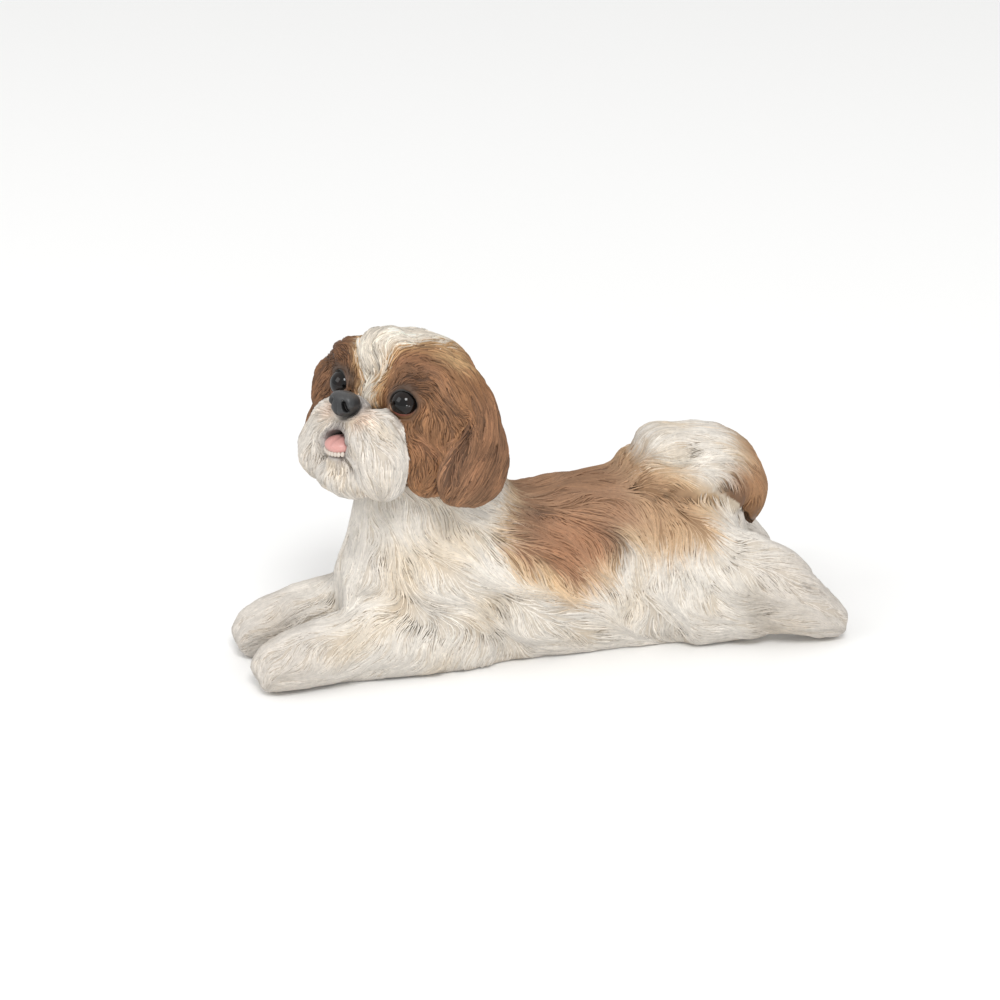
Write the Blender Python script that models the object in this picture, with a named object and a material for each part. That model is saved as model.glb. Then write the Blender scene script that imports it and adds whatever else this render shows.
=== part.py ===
"""A cast and painted statue of a shih tzu that lies stretched out with its head up.

The nose points along -Y, the dog's left side is +X and +Z is up. The statue stands on z = 0.
Sizes are in metres. The soft masses are built whole, parted into named pieces, and moved so that
the middle of the floor area is the origin.
"""

import math

import bmesh
import bpy
import numpy as np
from mathutils import Matrix, Vector
from mathutils.bvhtree import BVHTree
from mathutils.kdtree import KDTree

# Driving dimensions
PAW_TO_PAW = 0.384
BACK_HEIGHT = 0.110
TORSO_HALF_WIDTH = 0.056
FORELEG_OFFSET = 0.028
FORELEG_RADIUS = 0.0205
HINDLEG_OFFSET = 0.047
EYE_RADIUS = 0.0092
EYE_PLACE = (0.0265, 0.0376, 0.0014)
EYE_TURN = 20
LID_RADII = (0.0100, 0.0094)
LID_THICKNESS = 0.0018
NOSE_PLACE = (0, 0.0632, -0.0055)
NOSE_SIZE = (0.0120, 0.0083, 0.0086)
MOUTH_PLACE = (0, 0.0660, -0.0300)
MOUTH_SIZE = (0.0094, 0.0200, 0.0083)
HEAD_YAW = math.radians(30)
HEAD_PITCH = math.radians(15)
HEAD_CENTRE = Vector((-0.004, -0.0705, 0.1750))
FRONT_Y = -0.183
REAR_Y = FRONT_Y + PAW_TO_PAW

# Making
GAP = 0.0003
SEAT_SMOOTHING = 20
SEAT_TRIANGLES = {"torso": 1500, "tail": 400, "head": 700, "muzzle": 360, "chin": 180, "ear": 200,
                  "eye": 140, "nose": 100, "tongue": 80, "teeth": 80}
BODY_VOXEL = 0.0024
FACE_VOXEL = 0.0014
TRIANGLES = {"torso": 6700, "tail": 1180, "head": 1720, "muzzle": 1120, "chin": 450, "ear": 850,
             "eye": 200, "nose": 240, "tongue": 120, "teeth": 200}

# Carved locks by kind of surface: (length, width, depth)
LOCKS = {"torso": (0.052, 0.0140, 0.0030), "tail": (0.042, 0.0110, 0.0026),
         "head": (0.030, 0.0085, 0.0019), "ear": (0.040, 0.0085, 0.0019),
         "muzzle": (0.024, 0.0070, 0.0016), "chin": (0.018, 0.0065, 0.0012)}
LOCK_STEPS = 10
WAVE = math.radians(24)
WAVE_LENGTH = 0.060

# Paint, as linear colours
CREAM = (0.70, 0.63, 0.53)
TAN = (0.45, 0.30, 0.19)
BROWN = (0.20, 0.125, 0.085)
CHARCOAL = (0.045, 0.043, 0.045)
GLASS = (0.012, 0.008, 0.006)
PINK = (0.62, 0.35, 0.32)
TOOTH = (0.62, 0.59, 0.55)


def head_matrix():
    """Takes head coordinates (left, forward, up) to the statue's own."""
    forward = Vector((math.sin(HEAD_YAW), -math.cos(HEAD_YAW), 0))
    left = Vector((math.cos(HEAD_YAW), math.sin(HEAD_YAW), 0))
    nose_way = forward * math.cos(HEAD_PITCH) + Vector((0, 0, math.sin(HEAD_PITCH)))
    up = Vector((0, 0, math.cos(HEAD_PITCH))) - forward * math.sin(HEAD_PITCH)
    turn = Matrix((left, nose_way, up)).transposed().to_4x4()
    return Matrix.Translation(HEAD_CENTRE) @ turn


HEAD = head_matrix()
BODY = Matrix.Identity(4)


# Shapes

def new_object(name, bm):
    mesh = bpy.data.meshes.new(name)
    bmesh.ops.recalc_face_normals(bm, faces=bm.faces)
    bm.to_mesh(mesh)
    bm.free()
    obj = bpy.data.objects.new(name, mesh)
    bpy.context.scene.collection.objects.link(obj)
    return obj


def remove(obj):
    mesh = obj.data
    bpy.data.objects.remove(obj)
    bpy.data.meshes.remove(mesh)


def add_ellipsoid(bm, centre, radii, frame=BODY, pitch=0.0, roll=0.0, detail=4):
    """pitch turns the mass about its sideways axis, roll about its lengthwise one, in degrees."""
    turn = Matrix.Rotation(math.radians(pitch), 4, "X") @ Matrix.Rotation(math.radians(roll), 4, "Y")
    place = frame @ Matrix.Translation(centre) @ turn @ Matrix.Diagonal((*radii, 1))
    bmesh.ops.create_icosphere(bm, subdivisions=detail, radius=1, matrix=place)


def add_pair(bm, centre, radii, frame=BODY, pitch=0.0, roll=0.0):
    for side in (1, -1):
        add_ellipsoid(bm, (side * centre[0], *centre[1:]), radii, frame, pitch, side * roll)


def add_loft(bm, rings, frame=BODY, sides=32, power=2.2):
    """A closed mass through rings, each (centre, across, half_width, half_height).

    across is the ring's sideways direction; the ring stands square to the path of the centres.
    """
    centres = [Vector(r[0]) for r in rings]
    loops = []
    for i, (centre, across, half_width, half_height) in enumerate(rings):
        way = (centres[min(i + 1, len(rings) - 1)] - centres[max(i - 1, 0)]).normalized()
        side = (Vector(across) - way * way.dot(Vector(across))).normalized()
        other = way.cross(side)
        loop = []
        for k in range(sides):
            a = 2 * math.pi * k / sides
            c, s = math.cos(a), math.sin(a)
            fullness = (abs(c) ** power + abs(s) ** power) ** (-1 / power)
            offset = side * (half_width * fullness * c) + other * (half_height * fullness * s)
            loop.append(bm.verts.new(frame @ (Vector(centre) + offset)))
        loops.append(loop)
    for first, second in zip(loops, loops[1:]):
        for k in range(sides):
            n = (k + 1) % sides
            bm.faces.new((first[k], first[n], second[n], second[k]))
    bm.faces.new(loops[0][::-1])
    bm.faces.new(loops[-1])


def add_ring(bm, centre, radii, thickness, frame=BODY, steps=28, sides=10):
    """A rounded ring that faces forward, such as the lids round an eye."""
    loops = []
    for i in range(steps):
        a = 2 * math.pi * i / steps
        out = Vector((math.cos(a), 0, math.sin(a)))
        spine = Vector(centre) + Vector((radii[0] * out.x, 0, radii[1] * out.z))
        loop = []
        for k in range(sides):
            b = 2 * math.pi * k / sides
            offset = out * (thickness * math.cos(b)) + Vector((0, thickness * math.sin(b), 0))
            loop.append(bm.verts.new(frame @ (spine + offset)))
        loops.append(loop)
    for i in range(steps):
        first, second = loops[i], loops[(i + 1) % steps]
        for k in range(sides):
            n = (k + 1) % sides
            bm.faces.new((first[k], first[n], second[n], second[k]))


def apply_modifiers(obj):
    graph = bpy.context.evaluated_depsgraph_get()
    mesh = bpy.data.meshes.new_from_object(obj.evaluated_get(graph))
    obj.modifiers.clear()
    old, obj.data = obj.data, mesh
    bpy.data.meshes.remove(old)
    return obj


def blended(name, bm, voxel, smoothing):
    """The masses in bm as one smooth closed surface."""
    obj = new_object(name, bm)
    remesh = obj.modifiers.new("skin", "REMESH")
    remesh.mode = "VOXEL"
    remesh.voxel_size = voxel
    soften = obj.modifiers.new("soften", "SMOOTH")
    soften.factor = 0.5
    soften.iterations = smoothing
    return apply_modifiers(obj)


def simplified(obj, triangles):
    """Collapses edges until the surface has about that many triangles."""
    count = sum(len(p.vertices) - 2 for p in obj.data.polygons)
    if count > triangles:
        fewer = obj.modifiers.new("fewer", "DECIMATE")
        fewer.ratio = triangles / count
        fewer.use_collapse_triangulate = True
        apply_modifiers(obj)
    return obj


def copied(obj, name):
    twin = bpy.data.objects.new(name, obj.data.copy())
    bpy.context.scene.collection.objects.link(twin)
    return twin


def swell(obj, amount):
    """Moves each vertex outward by amount."""
    mesh = obj.data
    count = len(mesh.vertices)
    places = np.empty(count * 3)
    normals = np.empty(count * 3)
    mesh.vertices.foreach_get("co", places)
    mesh.vertex_normals.foreach_get("vector", normals)
    mesh.vertices.foreach_set("co", places + normals * amount)
    mesh.update()


def seat_of(plain, obj, triangles):
    """A copy of the plain form with few triangles that holds all of obj with a gap to spare."""
    seat = copied(plain, obj.name + "_seat")
    soften = seat.modifiers.new("soften", "SMOOTH")
    soften.factor = 0.5
    soften.iterations = SEAT_SMOOTHING
    apply_modifiers(seat)
    simplified(seat, triangles)
    tree = BVHTree.FromPolygons([v.co for v in seat.data.vertices],
                                [p.vertices[:] for p in seat.data.polygons])
    furthest = 0.0
    middles = [p.center for p in obj.data.polygons]
    for place in [v.co for v in plain.data.vertices] + [v.co for v in obj.data.vertices] + middles:
        near, normal, _, distance = tree.find_nearest(place)
        if (place - near).dot(normal) > 0:
            furthest = max(furthest, distance)
    swell(seat, furthest + GAP)
    return seat


def combine(obj, other, operation):
    """The Boolean of two closed surfaces, of which the largest piece is kept."""
    step = obj.modifiers.new("part", "BOOLEAN")
    step.operation = operation
    step.solver = "MANIFOLD"
    step.object = other
    apply_modifiers(obj)
    keep_largest(obj)
    return obj


def keep_largest(obj):
    bm = bmesh.new()
    bm.from_mesh(obj.data)
    groups = []
    seen = set()
    for first in bm.verts:
        if first in seen:
            continue
        seen.add(first)
        group, front = [first], [first]
        while front:
            vert = front.pop()
            for edge in vert.link_edges:
                other = edge.other_vert(vert)
                if other not in seen:
                    seen.add(other)
                    group.append(other)
                    front.append(other)
        groups.append(group)
    groups.sort(key=len)
    for group in groups[:-1]:
        bmesh.ops.delete(bm, geom=group, context="VERTS")
    bm.to_mesh(obj.data)
    bm.free()


def block(name, planes, grow):
    """A convex block inside the planes, each (point, outward direction), moved outward by grow."""
    bm = bmesh.new()
    bmesh.ops.create_cube(bm, size=1.2)
    for point, outward in planes:
        normal = Vector(outward).normalized()
        geometry = bm.verts[:] + bm.edges[:] + bm.faces[:]
        bmesh.ops.bisect_plane(bm, geom=geometry, plane_co=Vector(point) + normal * grow,
                               plane_no=normal, clear_outer=True)
        rim = [e for e in bm.edges if e.is_boundary]
        bmesh.ops.holes_fill(bm, edges=rim)
    return new_object(name, bm)


def part_off(obj, name, planes):
    """Takes the piece inside the planes off obj as a new object, with a gap between them."""
    piece = copied(obj, name)
    inner = block("inner", planes, -GAP / 2)
    outer = block("outer", planes, GAP / 2)
    combine(piece, inner, "INTERSECT")
    combine(obj, outer, "DIFFERENCE")
    remove(inner)
    remove(outer)
    return piece


def clear_of(obj, seats):
    """Cuts obj back from its neighbours by their seats."""
    for seat in seats:
        combine(obj, seat, "DIFFERENCE")


# The soft masses

def torso_masses(bm):
    """Each ring is centred low and reaches under the floor, so the belly is flat and wide there."""
    wide = TORSO_HALF_WIDTH
    middle = BACK_HEIGHT * 0.40
    tall = BACK_HEIGHT - middle
    x = (1, 0, 0)
    add_loft(bm, [
        ((0, -0.124, middle), x, 0.018, tall * 0.36),
        ((0, -0.113, middle), x, 0.034, tall * 0.66),
        ((0, -0.090, middle), x, 0.046, tall * 0.92),
        ((0, -0.050, middle), x, wide * 0.95, tall * 0.95),
        ((0, -0.005, middle), x, wide * 0.96, tall * 0.94),
        ((0, 0.040, middle), x, wide * 0.98, tall * 0.97),
        ((0, 0.085, middle), x, wide, tall * 1.03),
        ((0, 0.120, middle), x, wide * 0.92, tall * 0.98),
        ((0, 0.140, middle), x, wide * 0.72, tall * 0.80),
        ((0, 0.154, middle), x, wide * 0.38, tall * 0.45),
    ])
    # haunches, and the shoulders over the elbows
    add_pair(bm, (0.036, 0.104, 0.040), (0.029, 0.040, 0.052), roll=8)
    add_pair(bm, (0.031, -0.058, 0.046), (0.026, 0.040, 0.052), roll=8)


def neck_masses(bm):
    y = (1, 0, 0)
    add_loft(bm, [
        ((0, -0.056, 0.060), y, 0.048, 0.060),
        ((0, -0.059, 0.085), y, 0.045, 0.059),
        ((-0.001, -0.063, 0.110), y, 0.041, 0.051),
        ((-0.002, -0.066, 0.140), y, 0.037, 0.043),
    ])


def foreleg_masses(bm, side):
    x, r = side * FORELEG_OFFSET, FORELEG_RADIUS
    w = (1, 0, 0)
    add_loft(bm, [
        ((x, -0.035, r), w, r * 1.15, r * 1.30),
        ((x, -0.070, r), w, r * 1.15, r * 1.30),
        ((x, -0.110, r + 0.003), w, r * 1.02, r * 1.25),
        ((x, -0.145, r), w, r, r * 1.09),
        ((x, -0.162, r - 0.003), w, r * 1.04, r * 0.96),
        ((x, -0.175, r - 0.007), w, r * 1.00, r * 0.80),
        ((x, FRONT_Y - 0.003, r - 0.013), w, r * 0.70, r * 0.44),
    ])


def hindleg_masses(bm, side):
    x = side * HINDLEG_OFFSET
    out = side * 0.007
    w = (1, 0, 0)
    add_loft(bm, [
        ((x - out, 0.095, 0.030), w, 0.026, 0.036),
        ((x, 0.120, 0.037), w, 0.0225, 0.041),
        ((x + out, 0.138, 0.038), w, 0.0205, 0.040),
        ((x + out * 1.7, 0.154, 0.033), w, 0.0200, 0.034),
        ((x + out * 2.3, 0.172, 0.025), w, 0.0190, 0.0225),
        ((x + out * 2.6, 0.188, 0.014), w, 0.0165, 0.0160),
        ((x + out * 2.7, REAR_Y, 0.006), w, 0.0105, 0.0090),
    ])


def tail_masses(bm):
    """The plume rises behind the rump, curls forward and rests on the loin."""
    centre_y, centre_z = 0.119, 0.085
    reach_y, reach_z = 0.029, 0.026
    start, sweep = math.radians(-62), math.radians(228)
    steps = 10
    rings = []
    for i in range(steps):
        t = i / (steps - 1)
        angle = start + sweep * t
        half_width = 0.016 + 0.017 * math.sin(math.pi * min(1, t * 0.62 + 0.12))
        half_depth = 0.012 + 0.013 * math.sin(math.pi * min(1, t * 0.60 + 0.12))
        centre = (0, centre_y + reach_y * math.cos(angle), centre_z + reach_z * math.sin(angle))
        rings.append((centre, (1, 0, 0), half_width, half_depth))
    add_loft(bm, rings)


def head_masses(bm):
    add_ellipsoid(bm, (0, 0.002, 0.000), (0.048, 0.041, 0.0428), HEAD)
    # brows over the eyes, the crown between them, and what the eyes are set in
    add_pair(bm, (0.026, 0.022, 0.0145), (0.026, 0.021, 0.0185), HEAD)
    add_ellipsoid(bm, (-0.006, 0.026, 0.0225), (0.023, 0.019, 0.0215), HEAD)
    add_pair(bm, (0.027, 0.024, -0.002), (0.020, 0.016, 0.018), HEAD)
    # full temples, and cheeks that hang beside the muzzle
    add_pair(bm, (0.0445, 0.021, -0.005), (0.020, 0.018, 0.026), HEAD)
    add_pair(bm, (0.036, 0.014, -0.024), (0.020, 0.028, 0.033), HEAD)
    add_ellipsoid(bm, (0, 0.020, -0.030), (0.034, 0.030, 0.026), HEAD)


def lids_surface(side):
    """The eyes look a little outwards, and the lids with them."""
    x, y, z = EYE_PLACE
    turn = Matrix.Rotation(math.radians(-side * EYE_TURN), 4, "Z")
    bm = bmesh.new()
    frame = HEAD @ Matrix.Translation((side * x, y, z)) @ turn
    add_ring(bm, (0, 0.0020, 0), LID_RADII, LID_THICKNESS, frame)
    return new_object("lids", bm)


def muzzle_masses(bm):
    add_pair(bm, (0.016, 0.048, -0.026), (0.020, 0.020, 0.022), HEAD, pitch=-10)
    add_pair(bm, (0.0258, 0.048, -0.038), (0.0155, 0.018, 0.022), HEAD)
    add_pair(bm, (0.026, 0.044, -0.049), (0.013, 0.015, 0.012), HEAD)
    add_ellipsoid(bm, (0, 0.050, -0.022), (0.012, 0.015, 0.016), HEAD)
    add_ellipsoid(bm, (0, 0.053, -0.010), (0.013, 0.013, 0.010), HEAD)


def chin_masses(bm):
    add_ellipsoid(bm, (0, 0.048, -0.053), (0.024, 0.019, 0.012), HEAD)
    add_ellipsoid(bm, (0, 0.062, -0.0430), (0.0100, 0.0065, 0.0050), HEAD)


def ear_masses(bm, side):
    y = (0, 1, 0)
    add_loft(bm, [
        ((side * 0.044, -0.001, 0.024), y, 0.009, 0.006),
        ((side * 0.050, -0.001, 0.013), y, 0.016, 0.008),
        ((side * 0.055, 0.000, -0.004), y, 0.022, 0.009),
        ((side * 0.059, -0.001, -0.024), y, 0.030, 0.010),
        ((side * 0.059, 0.001, -0.043), y, 0.033, 0.010),
        ((side * 0.055, 0.002, -0.056), y, 0.021, 0.007),
    ], HEAD)


def body_surface():
    bm = bmesh.new()
    torso_masses(bm)
    neck_masses(bm)
    for side in (1, -1):
        foreleg_masses(bm, side)
        hindleg_masses(bm, side)
    return blended("torso", bm, BODY_VOXEL, 10)


def tail_surface():
    bm = bmesh.new()
    tail_masses(bm)
    return blended("tail", bm, 0.0020, 6)


def face_surfaces():
    """The head and what is set on it, each a smooth closed surface by name."""
    parts = {}
    bm = bmesh.new()
    head_masses(bm)
    parts["head"] = blended("head", bm, FACE_VOXEL, 16)
    bm = bmesh.new()
    muzzle_masses(bm)
    parts["muzzle"] = blended("muzzle", bm, FACE_VOXEL, 8)
    bm = bmesh.new()
    chin_masses(bm)
    parts["chin"] = blended("chin", bm, FACE_VOXEL, 3)
    for side, word in ((1, "left"), (-1, "right")):
        bm = bmesh.new()
        ear_masses(bm, side)
        parts["ear_" + word] = blended("ear_" + word, bm, 0.0018, 6)
    return parts


def small_surfaces():
    """Eyes, nose, tongue and the row of lower teeth."""
    parts = {}
    for side, word in ((1, "left"), (-1, "right")):
        bm = bmesh.new()
        x, y, z = EYE_PLACE
        add_ellipsoid(bm, (side * x, y, z), (EYE_RADIUS,) * 3, HEAD, detail=3)
        parts["eye_" + word] = new_object("eye_" + word, bm)
    bm = bmesh.new()
    add_ellipsoid(bm, NOSE_PLACE, NOSE_SIZE, HEAD, detail=3)
    parts["nose"] = new_object("nose", bm)
    bm = bmesh.new()
    add_ellipsoid(bm, (0, 0.0595, -0.0312), (0.0080, 0.0100, 0.0052), HEAD, pitch=-22, detail=3)
    parts["tongue"] = new_object("tongue", bm)
    bm = bmesh.new()
    for i in range(5):
        across = (i - 2) * 0.0024
        add_ellipsoid(bm, (across, 0.0672 - 30 * across ** 2, -0.0378), (0.0015, 0.0011, 0.0019), HEAD,
                      detail=2)
    parts["teeth"] = simplified(blended("teeth", bm, 0.0005, 1), 300)
    return parts


def nostril_surface(side):
    bm = bmesh.new()
    x, y, z = NOSE_PLACE
    add_ellipsoid(bm, (side * 0.0058, y + 0.0072, z - 0.0008), (0.0026, 0.0036, 0.0019), HEAD,
                  roll=-side * 25, detail=2)
    return new_object("nostril", bm)


def mouth_surface():
    bm = bmesh.new()
    add_ellipsoid(bm, MOUTH_PLACE, MOUTH_SIZE, HEAD, detail=3)
    return new_object("mouth", bm)


# The lie of the coat, and the locks carved along it

def body_strokes():
    """Comb strokes on the left side and the midline: (place, way, reach)."""
    return [
        # chest and throat, then the shoulder's swirl and the elbow
        ((0.000, -0.118, 0.100), (0.00, -0.20, -1.0), 0.022),
        ((0.012, -0.126, 0.070), (0.20, -0.25, -1.0), 0.022),
        ((0.036, -0.098, 0.092), (0.25, 0.00, -1.0), 0.024),
        ((0.040, -0.055, 0.105), (0.30, 0.45, -1.0), 0.024),
        ((0.050, -0.075, 0.065), (0.20, 0.15, -1.0), 0.020),
        ((0.050, -0.040, 0.060), (0.10, 0.80, -0.7), 0.020),
        ((0.050, -0.060, 0.035), (0.10, -0.25, -0.8), 0.020),
        ((0.048, -0.018, 0.030), (0.10, 0.80, -0.5), 0.022),
        # foreleg, from the elbow to the paw
        ((0.040, -0.100, 0.045), (0.30, -1.00, -0.5), 0.022),
        ((0.028, -0.130, 0.045), (0.10, -1.00, -0.1), 0.022),
        ((0.048, -0.130, 0.022), (0.10, -1.00, -0.4), 0.020),
        ((0.010, -0.150, 0.022), (0.00, -1.00, -0.4), 0.016),
        ((0.028, -0.178, 0.030), (0.00, -0.80, -0.6), 0.016),
        # back and flank
        ((0.000, -0.020, 0.108), (0.10, 1.00, 0.0), 0.026),
        ((0.000, 0.030, 0.110), (0.10, 1.00, 0.0), 0.026),
        ((0.000, 0.080, 0.115), (0.10, 1.00, 0.0), 0.024),
        ((0.035, 0.000, 0.100), (0.55, 0.85, -0.5), 0.024),
        ((0.053, 0.020, 0.070), (0.10, 0.55, -1.0), 0.024),
        ((0.040, 0.060, 0.098), (0.45, 0.90, -0.6), 0.024),
        ((0.056, 0.055, 0.060), (0.10, 0.35, -1.0), 0.022),
        ((0.054, 0.030, 0.028), (0.10, 0.85, -0.6), 0.022),
        # haunch, hind leg and rump
        ((0.048, 0.098, 0.090), (0.50, 0.55, -0.7), 0.022),
        ((0.062, 0.100, 0.055), (0.10, 0.10, -1.0), 0.020),
        ((0.060, 0.085, 0.025), (0.10, -0.30, -1.0), 0.018),
        ((0.068, 0.130, 0.060), (0.10, 0.70, -0.7), 0.020),
        ((0.066, 0.160, 0.045), (0.10, 0.85, -0.6), 0.020),
        ((0.062, 0.188, 0.020), (0.05, 0.90, -0.4), 0.018),
        ((0.030, 0.135, 0.085), (0.60, 0.50, -0.5), 0.020),
        ((0.012, 0.150, 0.055), (0.20, 0.50, -0.9), 0.020),
        ((0.036, 0.165, 0.030), (-0.10, 0.90, -0.4), 0.018),
    ]


def tail_strokes():
    return [
        ((0.000, 0.152, 0.062), (0.00, 0.35, 1.0), 0.018),
        ((0.000, 0.170, 0.090), (0.05, 0.00, 1.0), 0.018),
        ((0.000, 0.155, 0.120), (0.10, -0.70, 0.7), 0.018),
        ((0.000, 0.115, 0.136), (0.20, -1.00, 0.1), 0.018),
        ((0.030, 0.130, 0.110), (0.40, -0.90, -0.3), 0.018),
        ((0.030, 0.105, 0.110), (0.20, -0.70, -0.8), 0.016),
        ((0.000, 0.082, 0.120), (0.10, -0.60, -0.8), 0.018),
        ((0.034, 0.150, 0.090), (0.10, 0.00, 1.0), 0.016),
    ]


def head_strokes():
    """In head coordinates (left, forward, up)."""
    return [
        # up between the eyes and back over the crown
        ((0.000, 0.050, 0.004), (0.05, 0.00, 1.0), 0.012),
        ((0.000, 0.040, 0.028), (0.10, -0.30, 1.0), 0.014),
        ((0.000, 0.010, 0.046), (0.20, -1.00, 0.2), 0.018),
        ((0.000, -0.030, 0.034), (0.05, -0.70, -0.7), 0.020),
        ((0.000, -0.044, 0.000), (0.00, 0.00, -1.0), 0.022),
        # brows, temples and cheeks
        ((0.022, 0.044, 0.024), (0.60, -0.20, 0.7), 0.012),
        ((0.030, 0.020, 0.038), (0.90, -0.60, -0.2), 0.016),
        ((0.040, 0.038, 0.018), (0.90, -0.50, -0.4), 0.012),
        ((0.050, 0.024, 0.006), (0.20, -0.40, -1.0), 0.014),
        ((0.044, 0.034, -0.020), (0.20, -0.20, -1.0), 0.016),
        ((0.046, 0.020, -0.045), (0.05, -0.15, -1.0), 0.018),
        ((0.040, -0.025, 0.025), (0.60, -0.60, -0.7), 0.018),
        ((0.010, 0.030, -0.055), (0.10, -0.10, -1.0), 0.020),
        # muzzle, out from the nose and down past the mouth
        ((0.005, 0.060, 0.004), (0.30, -0.40, 1.0), 0.007),
        ((0.018, 0.060, -0.008), (1.00, -0.40, -0.1), 0.009),
        ((0.030, 0.050, -0.020), (0.70, -0.40, -0.8), 0.011),
        ((0.012, 0.067, -0.024), (0.50, -0.05, -1.0), 0.010),
        ((0.024, 0.058, -0.040), (0.35, -0.10, -1.0), 0.012),
        ((0.036, 0.044, -0.045), (0.15, -0.20, -1.0), 0.014),
        # chin
        ((0.000, 0.062, -0.054), (0.15, 0.00, -1.0), 0.010),
        ((0.014, 0.050, -0.064), (0.50, -0.50, -0.7), 0.010),
    ]


def ear_strokes():
    """In head coordinates, on the left ear."""
    return [
        ((0.056, -0.002, 0.016), (0.35, -0.10, -1.0), 0.014),
        ((0.066, -0.008, -0.010), (0.05, -0.10, -1.0), 0.016),
        ((0.066, 0.016, -0.020), (0.05, 0.05, -1.0), 0.014),
        ((0.068, -0.018, -0.034), (0.00, 0.25, -1.0), 0.014),
        ((0.068, 0.004, -0.040), (0.00, 0.55, -1.0), 0.014),
        ((0.062, 0.010, -0.056), (-0.10, 0.80, -0.7), 0.012),
        ((0.045, 0.000, -0.040), (0.00, 0.20, -1.0), 0.016),
    ]


def both_sides(strokes, frame=BODY):
    """The strokes and their mirror images as arrays of places, ways and reaches."""
    places, ways, reaches = [], [], []
    turn = frame.to_3x3()
    for place, way, reach in strokes:
        for side in (1, -1):
            places.append(frame @ Vector((side * place[0], *place[1:])))
            ways.append((turn @ Vector((side * way[0], *way[1:]))).normalized())
            reaches.append(reach)
    return np.array(places), np.array(ways), np.array(reaches)


def lie(places, normals, strokes):
    """The coat's direction at each place, along the surface, in gentle waves."""
    centres, ways, reaches = strokes
    squares = ((places[:, None, :] - centres[None]) ** 2).sum(axis=2)
    weights = np.exp(-squares / (2 * reaches ** 2)) + 1e-6 / (squares + 1e-4)
    way = weights @ ways
    way -= normals * (way * normals).sum(axis=1, keepdims=True)
    way /= np.linalg.norm(way, axis=1, keepdims=True) + 1e-12
    turns = 2 * math.pi * places / WAVE_LENGTH
    angle = np.sin(turns[:, 1] + 1.7 * turns[:, 2])
    angle += 0.6 * np.sin(1.9 * turns[:, 0] - turns[:, 2] + 2)
    angle *= WAVE
    across = np.cross(normals, way)
    return way * np.cos(angle)[:, None] + across * np.sin(angle)[:, None]


def lock_roots(places, normals, ways, length, width, rng):
    """Picks roots from the places so that locks lie side by side and lap over one another."""
    order = rng.permutation(len(places))
    chosen = []
    kept = np.empty((0, 3))
    kept_ways = np.empty((0, 3))
    for i in order:
        apart = kept - places[i]
        along = (apart * (kept_ways + ways[i]) / 2).sum(axis=1)
        aside = np.sqrt(np.maximum((apart ** 2).sum(axis=1) - along ** 2, 0))
        if not np.any((along / (length * 0.42)) ** 2 + (aside / (width * 0.78)) ** 2 < 1):
            chosen.append(i)
            kept = np.vstack([kept, places[i]])
            kept_ways = np.vstack([kept_ways, ways[i]])
    return np.array(chosen)


def lock_spines(tree, roots, normals, strokes, length, rng):
    """Follows the lie of the coat over the surface from every root."""
    lengths = length * rng.uniform(0.75, 1.2, len(roots))
    spines = [roots.copy()]
    place, normal = roots.copy(), normals.copy()
    for _ in range(LOCK_STEPS):
        place = place + lie(place, normal, strokes) * (lengths / LOCK_STEPS)[:, None]
        for k in range(len(place)):
            near, facing, _, _ = tree.find_nearest(Vector(place[k]))
            place[k], normal[k] = near, facing
        spines.append(place.copy())
    return np.stack(spines, axis=1)


def lock_height(points, spine, width, rise):
    """How high one lock stands at each point, from 0 to 1: low at its root, proud at its tip."""
    best = np.full(len(points), np.inf)
    part = np.zeros(len(points))
    steps = len(spine) - 1
    for k in range(steps):
        start, step = spine[k], spine[k + 1] - spine[k]
        t = np.clip(((points - start) @ step) / (step @ step + 1e-12), 0, 1)
        away = ((points - start - t[:, None] * step) ** 2).sum(axis=1)
        closer = away < best
        best[closer] = away[closer]
        part[closer] = (k + t[closer]) / steps
    taper = (1 - part ** 2.4) ** 0.7 * (0.55 + 0.45 * np.minimum(1, part * 3))
    side = np.sqrt(best) / (width / 2 * taper + 1e-6)
    round_top = np.sqrt(np.maximum(0, 1 - side ** 2))
    return round_top * (0.30 + 0.70 * np.minimum(1, part / 0.75)) * rise


def carve(obj, strokes, size, seed, smooth_places=()):
    """Cuts the ground between locks into the surface; the locks' tops keep its outline."""
    length, width, depth = size
    rng = np.random.default_rng(seed)
    mesh = obj.data
    count = len(mesh.vertices)
    places = np.empty(count * 3)
    normals = np.empty(count * 3)
    mesh.vertices.foreach_get("co", places)
    mesh.vertex_normals.foreach_get("vector", normals)
    places, normals = places.reshape(-1, 3), normals.reshape(-1, 3)
    tree = BVHTree.FromPolygons([v.co for v in mesh.vertices], [p.vertices[:] for p in mesh.polygons])
    finder = KDTree(count)
    for i, vert in enumerate(mesh.vertices):
        finder.insert(vert.co, i)
    finder.balance()
    roots = lock_roots(places, normals, lie(places, normals, strokes), length, width, rng)
    spines = lock_spines(tree, places[roots], normals[roots], strokes, length, rng)
    height = np.zeros(count)
    for spine in spines:
        middle = spine[LOCK_STEPS // 2]
        found = [i for _, i, _ in finder.find_range(middle, length * 0.65 + width)]
        rise = rng.uniform(0.75, 1.0)
        lock_width = width * rng.uniform(0.8, 1.2)
        height[found] = np.maximum(height[found], lock_height(places[found], spine, lock_width, rise))
    ground = 1 - height
    for place, near, far in smooth_places:
        distance = np.linalg.norm(places - np.array(place), axis=1)
        ground *= np.clip((distance - near) / (far - near), 0, 1)
    mesh.vertices.foreach_set("co", (places - normals * (depth * ground)[:, None]).ravel())
    mesh.update()


# Parting and paint

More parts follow.
